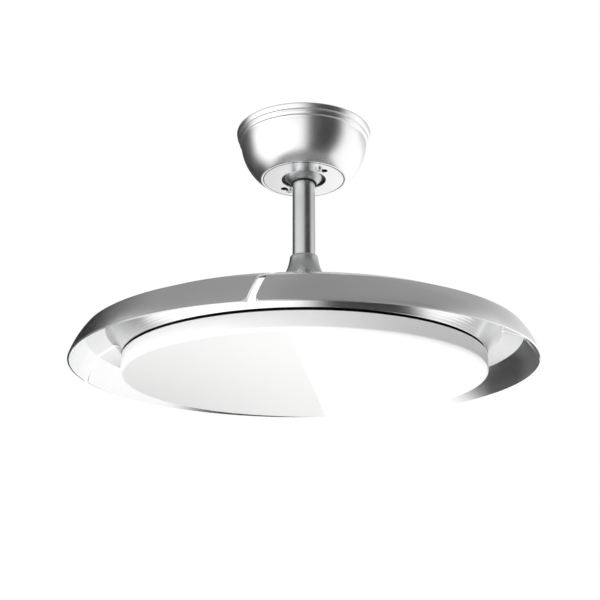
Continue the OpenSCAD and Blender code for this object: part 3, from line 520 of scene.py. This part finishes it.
SLOT_FINISH = {
    "satin_chrome": Metal("satin_chrome", BRIGHT, 0.3, Role.POLISHED),
    "dish_chrome": Metal("dish_chrome", BRIGHT, 0.2, Role.POLISHED),
    "rod_chrome": Metal("rod_chrome", (0.6, 0.605, 0.61), 0.33, Role.SATIN),
    "satin_grey": Metal("satin_grey", (0.74, 0.745, 0.75), 0.3, Role.SATIN),
    "blade_grey": Metal("blade_grey", (0.9, 0.902, 0.905), 0.24, Role.SATIN),
    "bracket_paint": Paint("bracket_black", (0.02, 0.02, 0.022), 0.5),
    # black painted steel, made this dark as painted shade for the gap between the lamp and the dish
    "black_pan": Paint("pan_black_gap_shade", (0.012, 0.012, 0.013), 0.6),
    "screw_steel": Metal("screw_steel", (0.66, 0.66, 0.67), 0.25, Role.STAMPED),
    "pin_steel": Metal("pin_steel", (0.6, 0.61, 0.62), 0.28, Role.TURNED),
    "cast_grey": Metal("cast_aluminium", (0.55, 0.56, 0.57), 0.45, Role.CAST),
    "bearing_steel": Metal("bearing_steel", (0.72, 0.72, 0.73), 0.12, Role.TURNED),
    "zinc_plate": Metal("zinc_plate", (0.66, 0.67, 0.66), 0.35, Role.STAMPED),
    "spring_steel": Metal("spring_steel", (0.5, 0.51, 0.53), 0.3, Role.SATIN),
    "lamination": Striped("lamination", (0.4, 0.41, 0.42), (0.16, 0.165, 0.17), 0.001, "Z", 0.45),
    "copper_wire": Striped("copper_wire", (0.8, 0.36, 0.16), (0.35, 0.12, 0.05), 0.0008, "R", 0.3),
    "magnet": Metal("magnet_nickel", (0.25, 0.26, 0.27), 0.4, Role.CAST),
    "white_plastic": Moulded("white_plastic", (0.8, 0.8, 0.78), 0.45),
    "gear_nylon": Moulded("gear_nylon", (0.74, 0.7, 0.6), 0.42),
    "board_white": Moulded("board_white", (0.86, 0.86, 0.85), 0.35, 600.0, 0.04),
    "led_yellow": Moulded("led_yellow", (0.9, 0.76, 0.18), 0.3, 2400.0),
    "rubber": Moulded("rubber", (0.02, 0.02, 0.021), 0.75, 900.0, 0.25),
    "opal": Opal("opal", (0.93, 0.93, 0.925)),
}


# ---------------------------------------------------------------- hand moves


def arc(start: Point, end: Point, rise: float, steps: int = 24) -> list[Point]:
    """Draws a circular arc whose middle stands off its chord.

    Args:
        start: The first point, in millimetres.
        end: The last point.
        rise: How far the middle stands to the left of the chord.
        steps: How many short lines it is made of.

    Returns:
        The points, both ends among them.
    """
    first, last = Vector(start), Vector(end)
    chord = last - first
    left = Vector((-chord.y, chord.x)).normalized() * math.copysign(1.0, rise)
    radius = (chord.length_squared / 4.0 + rise * rise) / (2.0 * abs(rise))
    centre = (first + last) / 2.0 - left * (radius - abs(rise))
    begin = math.atan2(first.y - centre.y, first.x - centre.x)
    finish = math.atan2(last.y - centre.y, last.x - centre.x)
    turn = (finish - begin + math.pi) % (2.0 * math.pi) - math.pi
    angles = (begin + turn * step / steps for step in range(steps + 1))
    return [(centre.x + radius * math.cos(a), centre.y + radius * math.sin(a)) for a in angles]


def lined(points: Sequence[Point], wall: float) -> list[Point]:
    """Moves an open line sideways by a wall's thickness.

    Args:
        points: The line, in millimetres.
        wall: How far it moves to its left.

    Returns:
        The moved line.
    """
    spots = [Vector(point) for point in points]
    moved = []
    for here, spot in enumerate(spots):
        before = (spots[max(here, 1)] - spots[max(here, 1) - 1]).normalized()
        after_at = min(here, len(spots) - 2)
        after = (spots[after_at + 1] - spots[after_at]).normalized()
        first = Vector((-before.y, before.x))
        middle = (first + Vector((-after.y, after.x))).normalized()
        step = middle * (wall / middle.dot(first))
        moved.append((spot.x + step.x, spot.y + step.y))
    return moved


def clear_bench() -> None:
    """Leaves nothing selected, in object mode."""
    if bpy.context.object and bpy.context.object.mode != "OBJECT":
        bpy.ops.object.mode_set(mode="OBJECT")
    bpy.ops.object.select_all(action="DESELECT")


def settle(name: str) -> bpy.types.Object:
    """Ends edit mode, puts the piece's place into its mesh and names it.

    Args:
        name: The piece's name.

    Returns:
        The piece.
    """
    bpy.ops.object.mode_set(mode="OBJECT")
    bpy.ops.object.transform_apply(location=True, rotation=True, scale=True)
    piece = bpy.context.object
    piece.name = name
    piece.data.name = name
    return piece


def turned(
    name: str, section: Sequence[Point], closed: bool = True, segments: int = 192
) -> bpy.types.Object:
    """Turns a piece on the fan's axis: a circle is extruded and resized from point to point.

    Args:
        name: The piece's name.
        section: Radius and height of each point, in millimetres.
        closed: Whether the section runs back to its first point; otherwise it ends on the axis.
        segments: How many sides the turning has.

    Returns:
        The piece.
    """
    points = [(max(radius, POLE_R) * MM, height * MM) for radius, height in section]
    radius, height = points[0]
    start = (0.0, 0.0, height)
    clear_bench()
    bpy.ops.mesh.primitive_circle_add(vertices=segments, radius=radius, location=start)
    bpy.ops.object.mode_set(mode="EDIT")
    bpy.ops.mesh.select_mode(type="VERT")
    bpy.ops.mesh.select_all(action="SELECT")
    for next_radius, next_height in points[1:] + (points[:1] if closed else []):
        step = {"value": (0.0, 0.0, next_height - height)}
        bpy.ops.mesh.extrude_region_move(TRANSFORM_OT_translate=step)
        grow = next_radius / radius
        middle = (0.0, 0.0, next_height)
        bpy.ops.transform.resize(value=(grow, grow, 1.0), center_override=middle)
        radius, height = next_radius, next_height
    bpy.ops.mesh.select_all(action="SELECT")
    bpy.ops.mesh.remove_doubles(threshold=MERGE * MM)
    bpy.ops.mesh.normals_make_consistent(inside=False)
    return settle(name)


def smoothed(piece: bpy.types.Object) -> bpy.types.Object:
    """Shades the active piece smooth, with its sharp edges kept, and returns it."""
    bpy.ops.object.shade_smooth_by_angle(angle=SMOOTH_ANGLE)
    return piece


def eased(
    piece: bpy.types.Object, width: float, steps: int = 3, angle: float = 28.0
) -> bpy.types.Object:
    """Rounds a piece's edges and shades it smooth.

    Args:
        piece: The piece, active.
        width: The rounding's width, in millimetres.
        steps: How many facets the rounding has.
        angle: The least angle of an edge that is rounded, in degrees.

    Returns:
        The piece.
    """
    bpy.ops.object.modifier_add(type="BEVEL")
    bevel = piece.modifiers[-1]
    bevel.width, bevel.segments = width * MM, steps
    bevel.limit_method, bevel.angle_limit = "ANGLE", math.radians(angle)
    bpy.ops.object.modifier_apply(modifier=bevel.name)
    return smoothed(piece)


def pick_faces(piece: bpy.types.Object, test: Callable[[Vector, Vector], bool]) -> None:
    """Selects faces by place and direction and stays in edit mode.

    Args:
        piece: The active mesh object.
        test: Takes a face's centre and normal, and tells whether it is wanted.
    """
    bpy.ops.object.mode_set(mode="EDIT")
    bpy.ops.mesh.select_mode(type="FACE")
    bpy.ops.mesh.select_all(action="DESELECT")
    bpy.ops.object.mode_set(mode="OBJECT")
    for face in piece.data.polygons:
        face.select = test(face.center, face.normal)
    bpy.ops.object.mode_set(mode="EDIT")


def pick_points(piece: bpy.types.Object, test: Callable[[Vector], bool]) -> None:
    """Selects points by place and stays in edit mode.

    Args:
        piece: The active mesh object, in object mode.
        test: Takes a point's place and tells whether it is wanted.
    """
    bpy.ops.object.mode_set(mode="EDIT")
    bpy.ops.mesh.select_mode(type="VERT")
    bpy.ops.mesh.select_all(action="DESELECT")
    bpy.ops.object.mode_set(mode="OBJECT")
    for point in piece.data.vertices:
        point.select = test(point.co)
    bpy.ops.object.mode_set(mode="EDIT")


def dress(piece: bpy.types.Object, finish: Finish) -> None:
    """Gives a piece one finish all over."""
    piece.data.materials.clear()
    piece.data.materials.append(finish.material())


@dataclass
class SubAssembly:
    """Nodes and pieces that are made, dressed and carried together; sizes are in millimetres."""

    nodes: tuple[str, ...] = ()

    def build(self) -> None:
        """Dresses the nodes with the finish of their slots, then makes the new pieces."""
        slots = {row["node"]: row["material_slot"] for row in frame["record"]["subparts"]}
        for node in self.nodes:
            dress(frame["nodes"][node], SLOT_FINISH[slots[node]])
            log.info("dressed %s as %s", node, slots[node])
        self.make()

    def make(self) -> None:
        """Makes the pieces that the nodes lack; a plain sub-assembly has none."""

    def mount(
        self, piece: bpy.types.Object, slot: str, body: str, *replaced: str
    ) -> bpy.types.Object:
        """Finishes a piece: dresses it in its slot's finish, hangs it on its body and hides the
        nodes that it stands for.

        Args:
            piece: The piece.
            slot: The record's material slot.
            body: The body that carries it.
            *replaced: The nodes that it stands for.

        Returns:
            The piece.
        """
        dress(piece, SLOT_FINISH[slot])
        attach(piece, body)
        if replaced:
            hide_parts(*replaced)
        log.info("made %s on %s", piece.name, body)
        return piece

    def copied(
        self, piece: bpy.types.Object, count: int, start: float = 0.0
    ) -> list[bpy.types.Object]:
        """Copies a piece round the fan's axis, each copy with its own mesh.

        Args:
            piece: The first one.
            count: How many there are in all.
            start: How far the first one is turned, in degrees.

        Returns:
            All of them.
        """
        piece.data.transform(Matrix.Rotation(math.radians(start), 4, "Z"))
        pieces = [piece]
        for number in range(1, count):
            other = piece.copy()
            other.data = piece.data.copy()
            other.data.transform(Matrix.Rotation(2.0 * math.pi * number / count, 4, "Z"))
            other.name = other.data.name = "%s_%d" % (piece.name, number + 1)
            bpy.context.scene.collection.objects.link(other)
            pieces.append(other)
        return pieces


@dataclass
class CeilingMount(SubAssembly):
    """The bracket on the ceiling, the canopy round it and the electrics inside."""

    nodes: tuple[str, ...] = (
        "ceiling_bracket", "canopy", "canopy_cover", "canopy_screws",
        "receiver_box", "receiver_screws", "terminal_block",
    )
    mouth_r: float = 47.7
    flange_r: float = 44.8
    lip_r: float = 50.3
    bowl_r: float = 74.2
    bowl_bulge: float = 5.7
    band_h: float = 13.0
    step_out: float = 2.0
    step_h: float = 1.0
    bead_out: float = 2.6
    groove_out: float = 1.8
    shoulder_in: float = 1.0
    steps_at: Triple = (0.6, 0.54, 0.46)
    rim_h: float = 1.5
    wall: float = 1.2
    joint_in: float = 0.3
    joint_up: float = 0.2
    round_w: float = 0.45
    cover_t: float = 1.7
    cover_r: float = 46.8
    seam_shade_fit: float = 0.05
    seam_shade_h: float = 0.9
    seam_shade_up: float = 0.35
    seam_shade_crown: float = 0.1

    def make(self) -> None:
        """Turns the canopy and the dark rubber ring round its cover, which is painted shade for the
        seam between them.
        """
        self._canopy()
        self._seam_shade_ring()

    def _seam_shade_ring(self) -> None:
        """Turns a black rubber ring that fills the seam between the canopy and its cover, standing
        in as painted shade for the shadow in that seam.
        """
        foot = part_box("canopy")[0][2] / MM
        inside, outside = self.cover_r + self.seam_shade_fit, self.mouth_r - self.seam_shade_fit
        section = [
            (inside, foot + self.seam_shade_up),
            ((inside + outside) / 2.0, foot + self.seam_shade_up - self.seam_shade_crown),
            (outside, foot + self.seam_shade_up),
            (outside, foot + self.seam_shade_h),
            (inside, foot + self.seam_shade_h),
        ]
        # the ring's black rubber is painted shade for the seam
        self.mount(smoothed(turned("cover_seam_shade_ring", section)), "rubber", "mount")

    def _canopy(self) -> None:
        """Turns the canopy: a drawn bowl under a stepped rim band, with an inward flange."""
        low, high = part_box("canopy")
        foot, rim_r = low[2] / MM, high[0] / MM
        outer = arc((self.lip_r, foot), (self.bowl_r, -self.band_h), -self.bowl_bulge)
        bead_z, groove_z, shoulder_z = (-share * self.band_h for share in self.steps_at)
        outer += [
            (self.bowl_r + self.step_out, self.step_h - self.band_h),
            (self.bowl_r + self.bead_out, bead_z),
            (self.bowl_r + self.groove_out, groove_z),
            (rim_r - self.shoulder_in, shoulder_z),
            (rim_r, -self.rim_h),
            (rim_r, 0.0),
        ]
        shelf = foot + self.cover_t
        top = shelf + self.wall
        inner = [point for point in lined(outer, self.wall) if point[1] > top + self.joint_up]
        inner[-1] = (rim_r - self.wall, 0.0)
        flange = [(self.flange_r, top), (self.flange_r, shelf), (self.mouth_r, shelf)]
        joint = [(inner[0][0] - self.joint_in, top)]
        section = [(self.mouth_r, foot)] + outer + inner[::-1] + joint + flange
        canopy = eased(turned("canopy_shell", section), self.round_w)
        self.mount(canopy, "satin_chrome", "mount", "canopy")


@dataclass
class Hanger(SubAssembly):
    """The ball, the downrod and the coupling under its flared cover."""

    nodes: tuple[str, ...] = (
        "hanger_ball", "downrod", "ball_pin", "ball_set_screw", "yoke_cover",
        "motor_yoke", "yoke_pin", "cotter_clip", "yoke_screws",
    )
    rod_r: float = 13.1
    seal_r: float = 15.4
    seal_h: float = 1.4
    seal_fit: float = 0.02
    seal_taper: float = 0.9
    seal_belly: float = 0.8
    seal_top_in: float = 1.2
    top_r: float = 16.2
    drop: float = 3.4
    bore_gap: float = 0.3
    collar_h: float = 1.6
    collar_in: float = 0.4
    collar_dip: float = 0.2
    solid_h: float = 10.0
    hollow: float = 7.0
    wall: float = 1.4
    cover_round: float = 0.3
    seal_round: float = 0.25
    seal_sides: int = 96

    def make(self) -> None:
        """Turns the coupling cover and the dark seal under the ball."""
        self._cover()
        self._seal()

    def _cover(self) -> None:
        """Turns the coupling's cover: a short collar that flares into a wide foot."""
        low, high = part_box("yoke_cover")
        foot, top, foot_r = low[2] / MM, high[2] / MM - self.drop, high[0] / MM
        bore_r = self.rod_r + self.bore_gap
        collar = [(bore_r, top), (self.top_r - self.collar_in, top - self.collar_dip)]
        outer = collar + arc((self.top_r, top - self.collar_h), (foot_r, foot), -self.hollow)
        inner = [p for p in lined(outer[2:], -self.wall) if foot < p[1] < top - self.solid_h]
        ceiling = inner[0][1] + self.collar_h
        inner = [(bore_r, ceiling), (inner[0][0], ceiling)] + inner
        section = outer + [(foot_r - self.wall, foot)] + inner[::-1]
        cover = eased(turned("coupling_cover", section), self.cover_round)
        self.mount(cover, "satin_grey", "hanger", "yoke_cover")

    def _seal(self) -> None:
        """Turns the rubber seal between the ball and the downrod."""
        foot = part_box("hanger_ball")[0][2] / MM
        inside = self.rod_r + self.seal_fit
        section = [
            (inside, foot - self.seal_h),
            (self.seal_r - self.seal_taper, foot - self.seal_h),
            (self.seal_r, foot - self.seal_belly),
            (self.seal_r - self.seal_top_in, foot),
            (inside, foot),
        ]
        seal = eased(turned("rod_seal", section, segments=self.seal_sides), self.seal_round)
        self.mount(seal, "rubber", "hanger")


@dataclass
class Motor(SubAssembly):
    """The outrunner: wound stator on the hollow shaft, magnets in the turning housing."""

    nodes: tuple[str, ...] = (
        "motor_shaft", "bearing_inner_races", "stator_core", "stator_windings", "motor_base",
        "motor_housing", "motor_screws", "magnets", "bearing_outer_races", "bearing_balls",
    )
    teeth: int = 12
    tooth_w: float = 8.2
    coil_in: float = 41.0
    wall: float = 4.0
    loops: int = 9
    swell: float = 0.4
    round_w: float = 1.2
    round_angle: float = 60.0

    def make(self) -> None:
        """Winds one coil and copies it to every tooth."""
        low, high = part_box("stator_windings")
        start, end = self.coil_in * MM, high[0]
        width = (self.tooth_w + 2.0 * self.wall) * MM
        size = (end - start, width, high[2] - low[2] - 2.0 * self.swell * MM)
        middle = ((start + end) / 2.0, 0.0, (low[2] + high[2]) / 2.0)
        clear_bench()
        bpy.ops.mesh.primitive_cube_add(size=1.0, location=middle, scale=size)
        coil = settle("coil")
        pick_faces(coil, lambda centre, normal: abs(normal.x) > SQUARE)
        bpy.ops.mesh.inset(thickness=self.wall * MM)
        bpy.ops.mesh.bridge_edge_loops()
        self._wind(coil, size, middle)
        settle("coil")
        eased(coil, self.round_w, angle=self.round_angle)
        for piece in self.copied(coil, self.teeth):
            self.mount(piece, "copper_wire", "hanger", "stator_windings")

    def _wind(self, coil: bpy.types.Object, size: Sequence[float], middle: Sequence[float]) -> None:
        """Cuts the coil across and swells every other cut, a rib for each loop of wire.

        Args:
            coil: The coil, in edit mode.
            size: Its length, width and height, in metres.
            middle: Its middle.
        """
        half_pitch = size[0] / self.loops / 2.0
        start = middle[0] - size[0] / 2.0
        bpy.ops.mesh.select_mode(type="VERT")
        for cut in range(1, 2 * self.loops):
            bpy.ops.mesh.select_all(action="SELECT")
            spot = (start + cut * half_pitch, middle[1], middle[2])
            bpy.ops.mesh.bisect(plane_co=spot, plane_no=(1.0, 0.0, 0.0))
        bpy.ops.object.mode_set(mode="OBJECT")
        pick_points(coil, lambda spot: round((spot.x - start) / half_pitch) % 2 == 1)
        grow = [1.0 + 2.0 * self.swell * MM / extent for extent in size]
        bpy.ops.transform.resize(value=(1.0, grow[1], grow[2]), center_override=middle)


@dataclass
class Lamp(SubAssembly):
    """The lamp under the shaft: its pan, its board and its milky cover."""

    nodes: tuple[str, ...] = (
        "lamp_bracket", "shaft_nut", "lamp_pan", "lamp_screws", "led_board", "leds",
        "led_driver", "diffuser_clips", "diffuser",
    )
    wall: float = 2.2
    edge: float = 4.0
    edge_less: float = 1.0
    edge_step: int = 6
    rim_round: float = 0.5
    tabs: int = 4
    tab_turn: float = 45.0
    tab_in: float = 190.7
    tab_up: float = 11.5
    tab_t: float = 1.6
    tab_w: float = 13.2
    tab_bite: float = 0.6
    tab_lead: float = 1.4
    tab_taper: Triple = (1.0, 0.8, 0.5)
    tab_round: float = 0.25

    def make(self) -> None:
        """Turns the milky cover and its tabs."""
        low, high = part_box("diffuser")
        foot, top, outside = low[2] / MM, high[2] / MM, high[0] / MM
        inside = outside - self.wall
        outer = self._corner(outside, foot, self.edge)
        inner = self._corner(inside, foot + self.wall, self.edge - self.edge_less)
        lip = top - self.rim_round
        rim = [
            (outside, lip),
            (outside - self.rim_round, top),
            (inside + self.rim_round, top),
            (inside, lip),
        ]
        section = [(0.0, foot)] + outer + rim + inner[::-1] + [(0.0, foot + self.wall)]
        shell = smoothed(turned("lamp_cover", section, closed=False))
        self.mount(shell, "opal", "hanger", "diffuser")
        self._tabs(foot, inside)

    def _corner(self, wall_r: float, foot: float, radius: float) -> list[Point]:
        """Draws the round corner between the cover's face and its wall.

        Args:
            wall_r: The wall's radius.
            foot: The face's height.
            radius: The corner's own radius.

        Returns:
            The corner's points, from the face up to the wall.
        """
        around = [math.radians(angle) for angle in range(-90, 1, self.edge_step)]
        return [
            (wall_r + radius * (math.cos(a) - 1.0), foot + radius * (math.sin(a) + 1.0))
            for a in around
        ]

    def _tabs(self, foot: float, inside: float) -> None:
        """Moulds the tabs that the pan's clips hold.

        Args:
            foot: The height of the cover's underside.
            inside: The radius inside its wall.
        """
        length = inside - self.tab_in + self.tab_bite
        middle = (self.tab_in + length / 2.0, 0.0, foot + self.tab_up + self.tab_t / 2.0)
        clear_bench()
        bpy.ops.mesh.primitive_cube_add(
            size=1.0,
            location=[value * MM for value in middle],
            scale=(length * MM, self.tab_w * MM, self.tab_t * MM),
        )
        tab = settle("cover_tab")
        pick_faces(tab, lambda centre, normal: normal.x < -SQUARE)
        step = {"value": (-self.tab_lead * MM, 0.0, 0.0)}
        bpy.ops.mesh.extrude_region_move(TRANSFORM_OT_translate=step)
        lead = ((self.tab_in - self.tab_lead) * MM, 0.0, middle[2] * MM)
        bpy.ops.transform.resize(value=self.tab_taper, center_override=lead)
        settle("cover_tab")
        eased(tab, self.tab_round)
        for piece in self.copied(tab, self.tabs, self.tab_turn):
            self.mount(piece, "opal", "hanger", "diffuser")


@dataclass
class BladeDish(SubAssembly):
    """The turning dish with the gear cover over it and the vented motor cover in the middle."""

    nodes: tuple[str, ...] = (
        "blade_dish", "gear_cover", "gear_cover_screws", "motor_cover", "motor_cover_screws",
    )
    beads: tuple[float, ...] = (121.0, 140.0)
    bead_w: float = 6.0
    bead_h: float = 0.9
    bead_sunk: float = 0.1
    bead_root: float = 0.8
    bead_steps: int = 10
    lamp_drop: float = 43.0
    cover_foot: Point = (104.0, 48.0)
    cover_top: Point = (53.0, 92.0)
    cover_bulge: float = 12.0
    vents: int = 16
    vent_at: int = 11  # the point of the cover's outline that they sit on
    vent_size: Triple = (20.0, 6.0, 3.4)
    vent_taper: Triple = (0.72, 0.5, 1.0)
    vent_facing: float = 0.7
    vent_lip: float = 0.5
    vent_depth: float = 0.45
    vent_round: float = 0.35
    sunk: float = 1.0

    def make(self) -> None:
        """Presses the beads of the gear cover and the vents of the motor cover."""
        for number, radius in enumerate(self.beads):
            self._bead(number + 1, radius)
        self._vents()

    def _bead(self, number: int, radius: float) -> None:
        """Presses one round bead into the gear cover.

        Args:
            number: Its number, from the inside.
            radius: The radius of its middle.
        """
        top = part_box("gear_cover")[1][2] / MM
        left, right = radius - self.bead_w / 2.0, radius + self.bead_w / 2.0
        foot, root = top - self.bead_sunk, top - self.bead_root
        rise = self.bead_h + self.bead_sunk
        crown = arc((left, foot), (right, foot), rise, self.bead_steps)
        bead = turned("cover_bead_%d" % number, crown + [(right, root), (left, root)])
        self.mount(smoothed(bead), "satin_grey", "rotor")

    def _vents(self) -> None:
        """Presses one hooded vent and copies it round the motor cover."""
        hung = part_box("gear_cover")[0][2] / MM - self.lamp_drop
        line = arc(self.cover_foot, self.cover_top, -self.cover_bulge)
        place, after = line[self.vent_at], line[self.vent_at + 2]
        slope = math.atan2(after[1] - place[1], place[0] - after[0])
        length, width, height = (extent * MM for extent in self.vent_size)
        clear_bench()
        bpy.ops.mesh.primitive_cube_add(size=1.0, scale=(length, width, height))
        vent = settle("cover_vent")
        pick_faces(vent, lambda centre, normal: normal.z > SQUARE)
        mouth = (0.0, width / 2.0, height / 2.0)
        bpy.ops.transform.resize(value=self.vent_taper, center_override=mouth)
        settle("cover_vent")
        pick_faces(vent, lambda centre, normal: normal.y > self.vent_facing)
        bpy.ops.mesh.inset(thickness=self.vent_lip * MM)
        step = {"value": (0.0, -self.vent_depth * width, 0.0)}
        bpy.ops.mesh.extrude_region_move(TRANSFORM_OT_translate=step)
        settle("cover_vent")
        vent.rotation_euler = (0.0, slope, 0.0)
        lift = height / 2.0 - self.sunk * MM
        across = place[0] * MM + lift * math.sin(slope)
        up = (hung + place[1]) * MM + lift * math.cos(slope)
        vent.location = (across, 0.0, up)
        vent = settle("cover_vent")
        eased(vent, self.vent_round)
        for piece in self.copied(vent, self.vents):
            self.mount(piece, "satin_grey", "rotor")


@dataclass
class GearTrain(SubAssembly):
    """The ring that the four blades turn together on, with its springs, stops and pivots."""

    nodes: tuple[str, ...] = (
        "sync_ring", "ring_stops", "return_springs", "pivot_pins", "pivot_screws",
        "blade_gear_1", "blade_gear_2", "blade_gear_3", "blade_gear_4",
    )


@dataclass
class Blades(SubAssembly):
    """The four blades that fold over the dish."""

    nodes: tuple[str, ...] = ("blade_1", "blade_2", "blade_3", "blade_4")


# ---------------------------------------------------------------- studio


@dataclass(frozen=True)
class Softbox:
    """A rectangular lamp aimed at the fan."""

    name: str
    place: Triple
    size: Pair
    watts: float
    mirrored: bool = True

    def build(self, target: Vector) -> None:
        """Hangs the lamp and turns it to the target.

        Args:
            target: The point that the lamp faces.
        """
        data = bpy.data.lights.new(self.name, "AREA")
        data.shape = "RECTANGLE"
        data.size, data.size_y = self.size
        data.energy = self.watts
        lamp = bpy.data.objects.new(self.name, data)
        lamp.location = self.place
        lamp.rotation_euler = (target - Vector(self.place)).to_track_quat("-Z", "Y").to_euler()
        lamp.visible_glossy = self.mirrored
        bpy.context.scene.collection.objects.link(lamp)


@dataclass(frozen=True)
class Card:
    """A darker stretch of the tent, with soft edges, in degrees seen from the fan."""

    azimuth: float
    half_width: float
    low: float
    high: float
    left_tone: float
    right_tone: float
    fade: float
    tone_span: float = 0.9

    def level(self, tree: Tree, radius: float) -> Wire:
        """Draws how much of the tent's light is left.

        Args:
            tree: The tree to draw in.
            radius: The tent's radius.

        Returns:
            1 outside the card, and its tone inside.
        """
        turn = (0.0, 0.0, -math.radians(self.azimuth))
        spot = tree.add("ShaderNodeMapping", {}, {"Vector": tree.place(), "Rotation": turn})
        x, y, z = (tree.add("ShaderNodeSeparateXYZ", {}, {0: spot}, out=name) for name in "XYZ")
        azimuth = x.maths("ARCTAN2", y * -1.0) * math.degrees(1.0)
        elevation = (z * (1.0 / radius)).clamped(-1.0, 1.0).maths("ARCSINE") * math.degrees(1.0)
        aside = azimuth.maths("ABSOLUTE")
        inside = 1.0 - aside.step_over(self.half_width - self.fade, self.half_width)
        above = elevation.step_over(self.low, self.low + self.fade)
        below = 1.0 - elevation.step_over(self.high - self.fade, self.high)
        span = radius * self.tone_span
        across = tree.axis("X").step_over(-span, span)
        tone = across * (self.right_tone - self.left_tone) + self.left_tone
        return 1.0 - (inside * above * below) * (1.0 - tone)


@dataclass
class Tent:
    """A round tent that only mirror rays see: white, with dark cards and a grey roof."""

    radius: float = 2.25
    wall_level: float = 1.12
    cards: tuple[Card, ...] = (
        Card(38.0, 44.0, -88.0, 50.0, 0.03, 0.03, 22.0),
        Card(45.0, 66.0, 34.0, 400.0, 0.8, 0.8, 14.0),
        Card(-140.0, 44.0, -50.0, 50.0, 0.03, 0.03, 24.0),
        Card(165.0, 30.0, -120.0, -31.0, 0.15, 0.15, 14.0),
        Card(0.0, 400.0, 20.0, 400.0, 0.26, 0.36, 20.0),
        Card(143.0, 32.0, 12.0, 36.0, 0.7, 0.7, 8.0),
        Card(-128.0, 34.0, -8.0, 32.0, 0.1, 0.1, 12.0),
    )

    def build(self, centre: Vector) -> bpy.types.Object:
        """Stands the tent round the fan.

        Args:
            centre: The middle of the tent.

        Returns:
            The tent.
        """
        bpy.ops.object.select_all(action="DESELECT")
        bpy.ops.mesh.primitive_uv_sphere_add(
            segments=96, ring_count=48, radius=self.radius, location=centre
        )
        tent = bpy.context.object
        tent.name = "reflection_tent"
        bpy.ops.object.shade_smooth()
        material = bpy.data.materials.new("tent")
        tree = Tree(material)
        level = self.cards[0].level(tree, self.radius)
        for card in self.cards[1:]:
            level = level * card.level(tree, self.radius)
        values = {"Color": WHITE, "Strength": level * self.wall_level}
        glow = tree.add("ShaderNodeEmission", {}, values)
        tree.add("ShaderNodeOutputMaterial", {}, {"Surface": glow})
        tent.data.materials.append(material)
        for ray in ("camera", "diffuse", "shadow", "transmission", "volume_scatter"):
            setattr(tent, "visible_" + ray, False)
        return tent


@dataclass
class Studio:
    """The camera, the surroundings, the floor, the lamps and the tent, in metres and degrees."""

    floor_z: float = -2.5
    floor_size: float = 60.0
    floor_tone: float = 0.82
    floor_glow: float = 0.6
    world_light: float = 0.35
    target: Vector = field(default_factory=lambda: Vector((0.0, 0.0, -0.2)))
    camera_place: Triple = (0.0, -1.0861, -0.560)
    camera_pitch: float = 18.0155
    camera_yaw: float = -0.245
    camera_roll: float = -0.10
    lens_mm: float = 60.684
    sensor_mm: float = 36.0
    sight: Pair = (0.02, 100.0)
    lamps: tuple[Softbox, ...] = (
        Softbox("key_left", (-2.4, -1.7, -0.9), (1.6, 1.6), 60.0),
        Softbox("top_right", (1.6, 0.4, 1.9), (1.8, 1.8), 10.0, False),
        Softbox("under_fill", (0.2, -0.7, -2.2), (2.2, 2.2), 12.0, False),
    )

    def build(self) -> None:
        """Builds the whole studio."""
        self._camera()
        self._world()
        self._floor()
        for lamp in self.lamps:
            lamp.build(self.target)
            log.info("lamp %s", lamp.name)
        log.info("tent %s", Tent().build(self.target).name)

    def _camera(self) -> None:
        """Puts the camera where the photograph was taken from."""
        data = bpy.data.cameras.new("camera")
        data.lens, data.sensor_width = self.lens_mm, self.sensor_mm
        data.clip_start, data.clip_end = self.sight
        camera = bpy.data.objects.new("camera", data)
        pitch, yaw = math.radians(self.camera_pitch), math.radians(self.camera_yaw)
        level = math.cos(pitch)
        ahead = Vector((math.sin(yaw) * level, math.cos(yaw) * level, math.sin(pitch)))
        turn = ahead.to_track_quat("-Z", "Y").to_matrix()
        roll = Matrix.Rotation(math.radians(self.camera_roll), 3, "Z")
        camera.rotation_euler = (turn @ roll).to_euler()
        camera.location = self.camera_place
        bpy.context.scene.collection.objects.link(camera)
        bpy.context.scene.camera = camera

    def _world(self) -> None:
        """Lights the fan softly all round and shows white behind it."""
        world = bpy.data.worlds.new("studio")
        bpy.context.scene.world = world
        tree = Tree(world)
        level = self._seen(tree) * (1.0 - self.world_light) + self.world_light
        values = {"Color": WHITE, "Strength": level}
        back = tree.add("ShaderNodeBackground", {}, values)
        tree.add("ShaderNodeOutputWorld", {}, {"Surface": back})

    @staticmethod
    def _seen(tree: Tree) -> Wire:
        """Draws which rays see the studio at its full white.

        Args:
            tree: The tree to draw in.

        Returns:
            1 for rays from the camera and for mirror and glass rays, else 0.
        """
        rays = ("Is Camera Ray", "Is Glossy Ray", "Is Transmission Ray")
        camera, glossy, through = (tree.add("ShaderNodeLightPath", out=name) for name in rays)
        return (camera + glossy + through).clamped()

    def _floor(self) -> None:
        """Lays a pale floor that keeps the fan's shadow."""
        bpy.ops.object.select_all(action="DESELECT")
        place = (0.0, 0.0, self.floor_z)
        bpy.ops.mesh.primitive_plane_add(size=self.floor_size, location=place)
        floor = bpy.context.object
        floor.name = "floor"
        material = bpy.data.materials.new("floor")
        tree = Tree(material)
        matt = tree.add("ShaderNodeBsdfDiffuse", {}, {"Color": (*[self.floor_tone] * 3, 1.0)})
        glow = tree.add("ShaderNodeEmission", {}, {"Color": WHITE, "Strength": 1.0})
        share = self._seen(tree) * self.floor_glow
        mixed = tree.add("ShaderNodeMixShader", {}, {0: share, 1: matt, 2: glow})
        tree.add("ShaderNodeOutputMaterial", {}, {"Surface": mixed})
        floor.data.materials.append(material)


def main() -> None:
    """Builds the studio and the fan, piece by piece."""
    bpy.context.scene.view_settings.view_transform = "Standard"
    Studio().build()
    for part in (CeilingMount(), Hanger(), Motor(), Lamp(), BladeDish(), GearTrain(), Blades()):
        log.info("== %s", type(part).__name__)
        part.build()


if __name__ == "__main__":
    main()
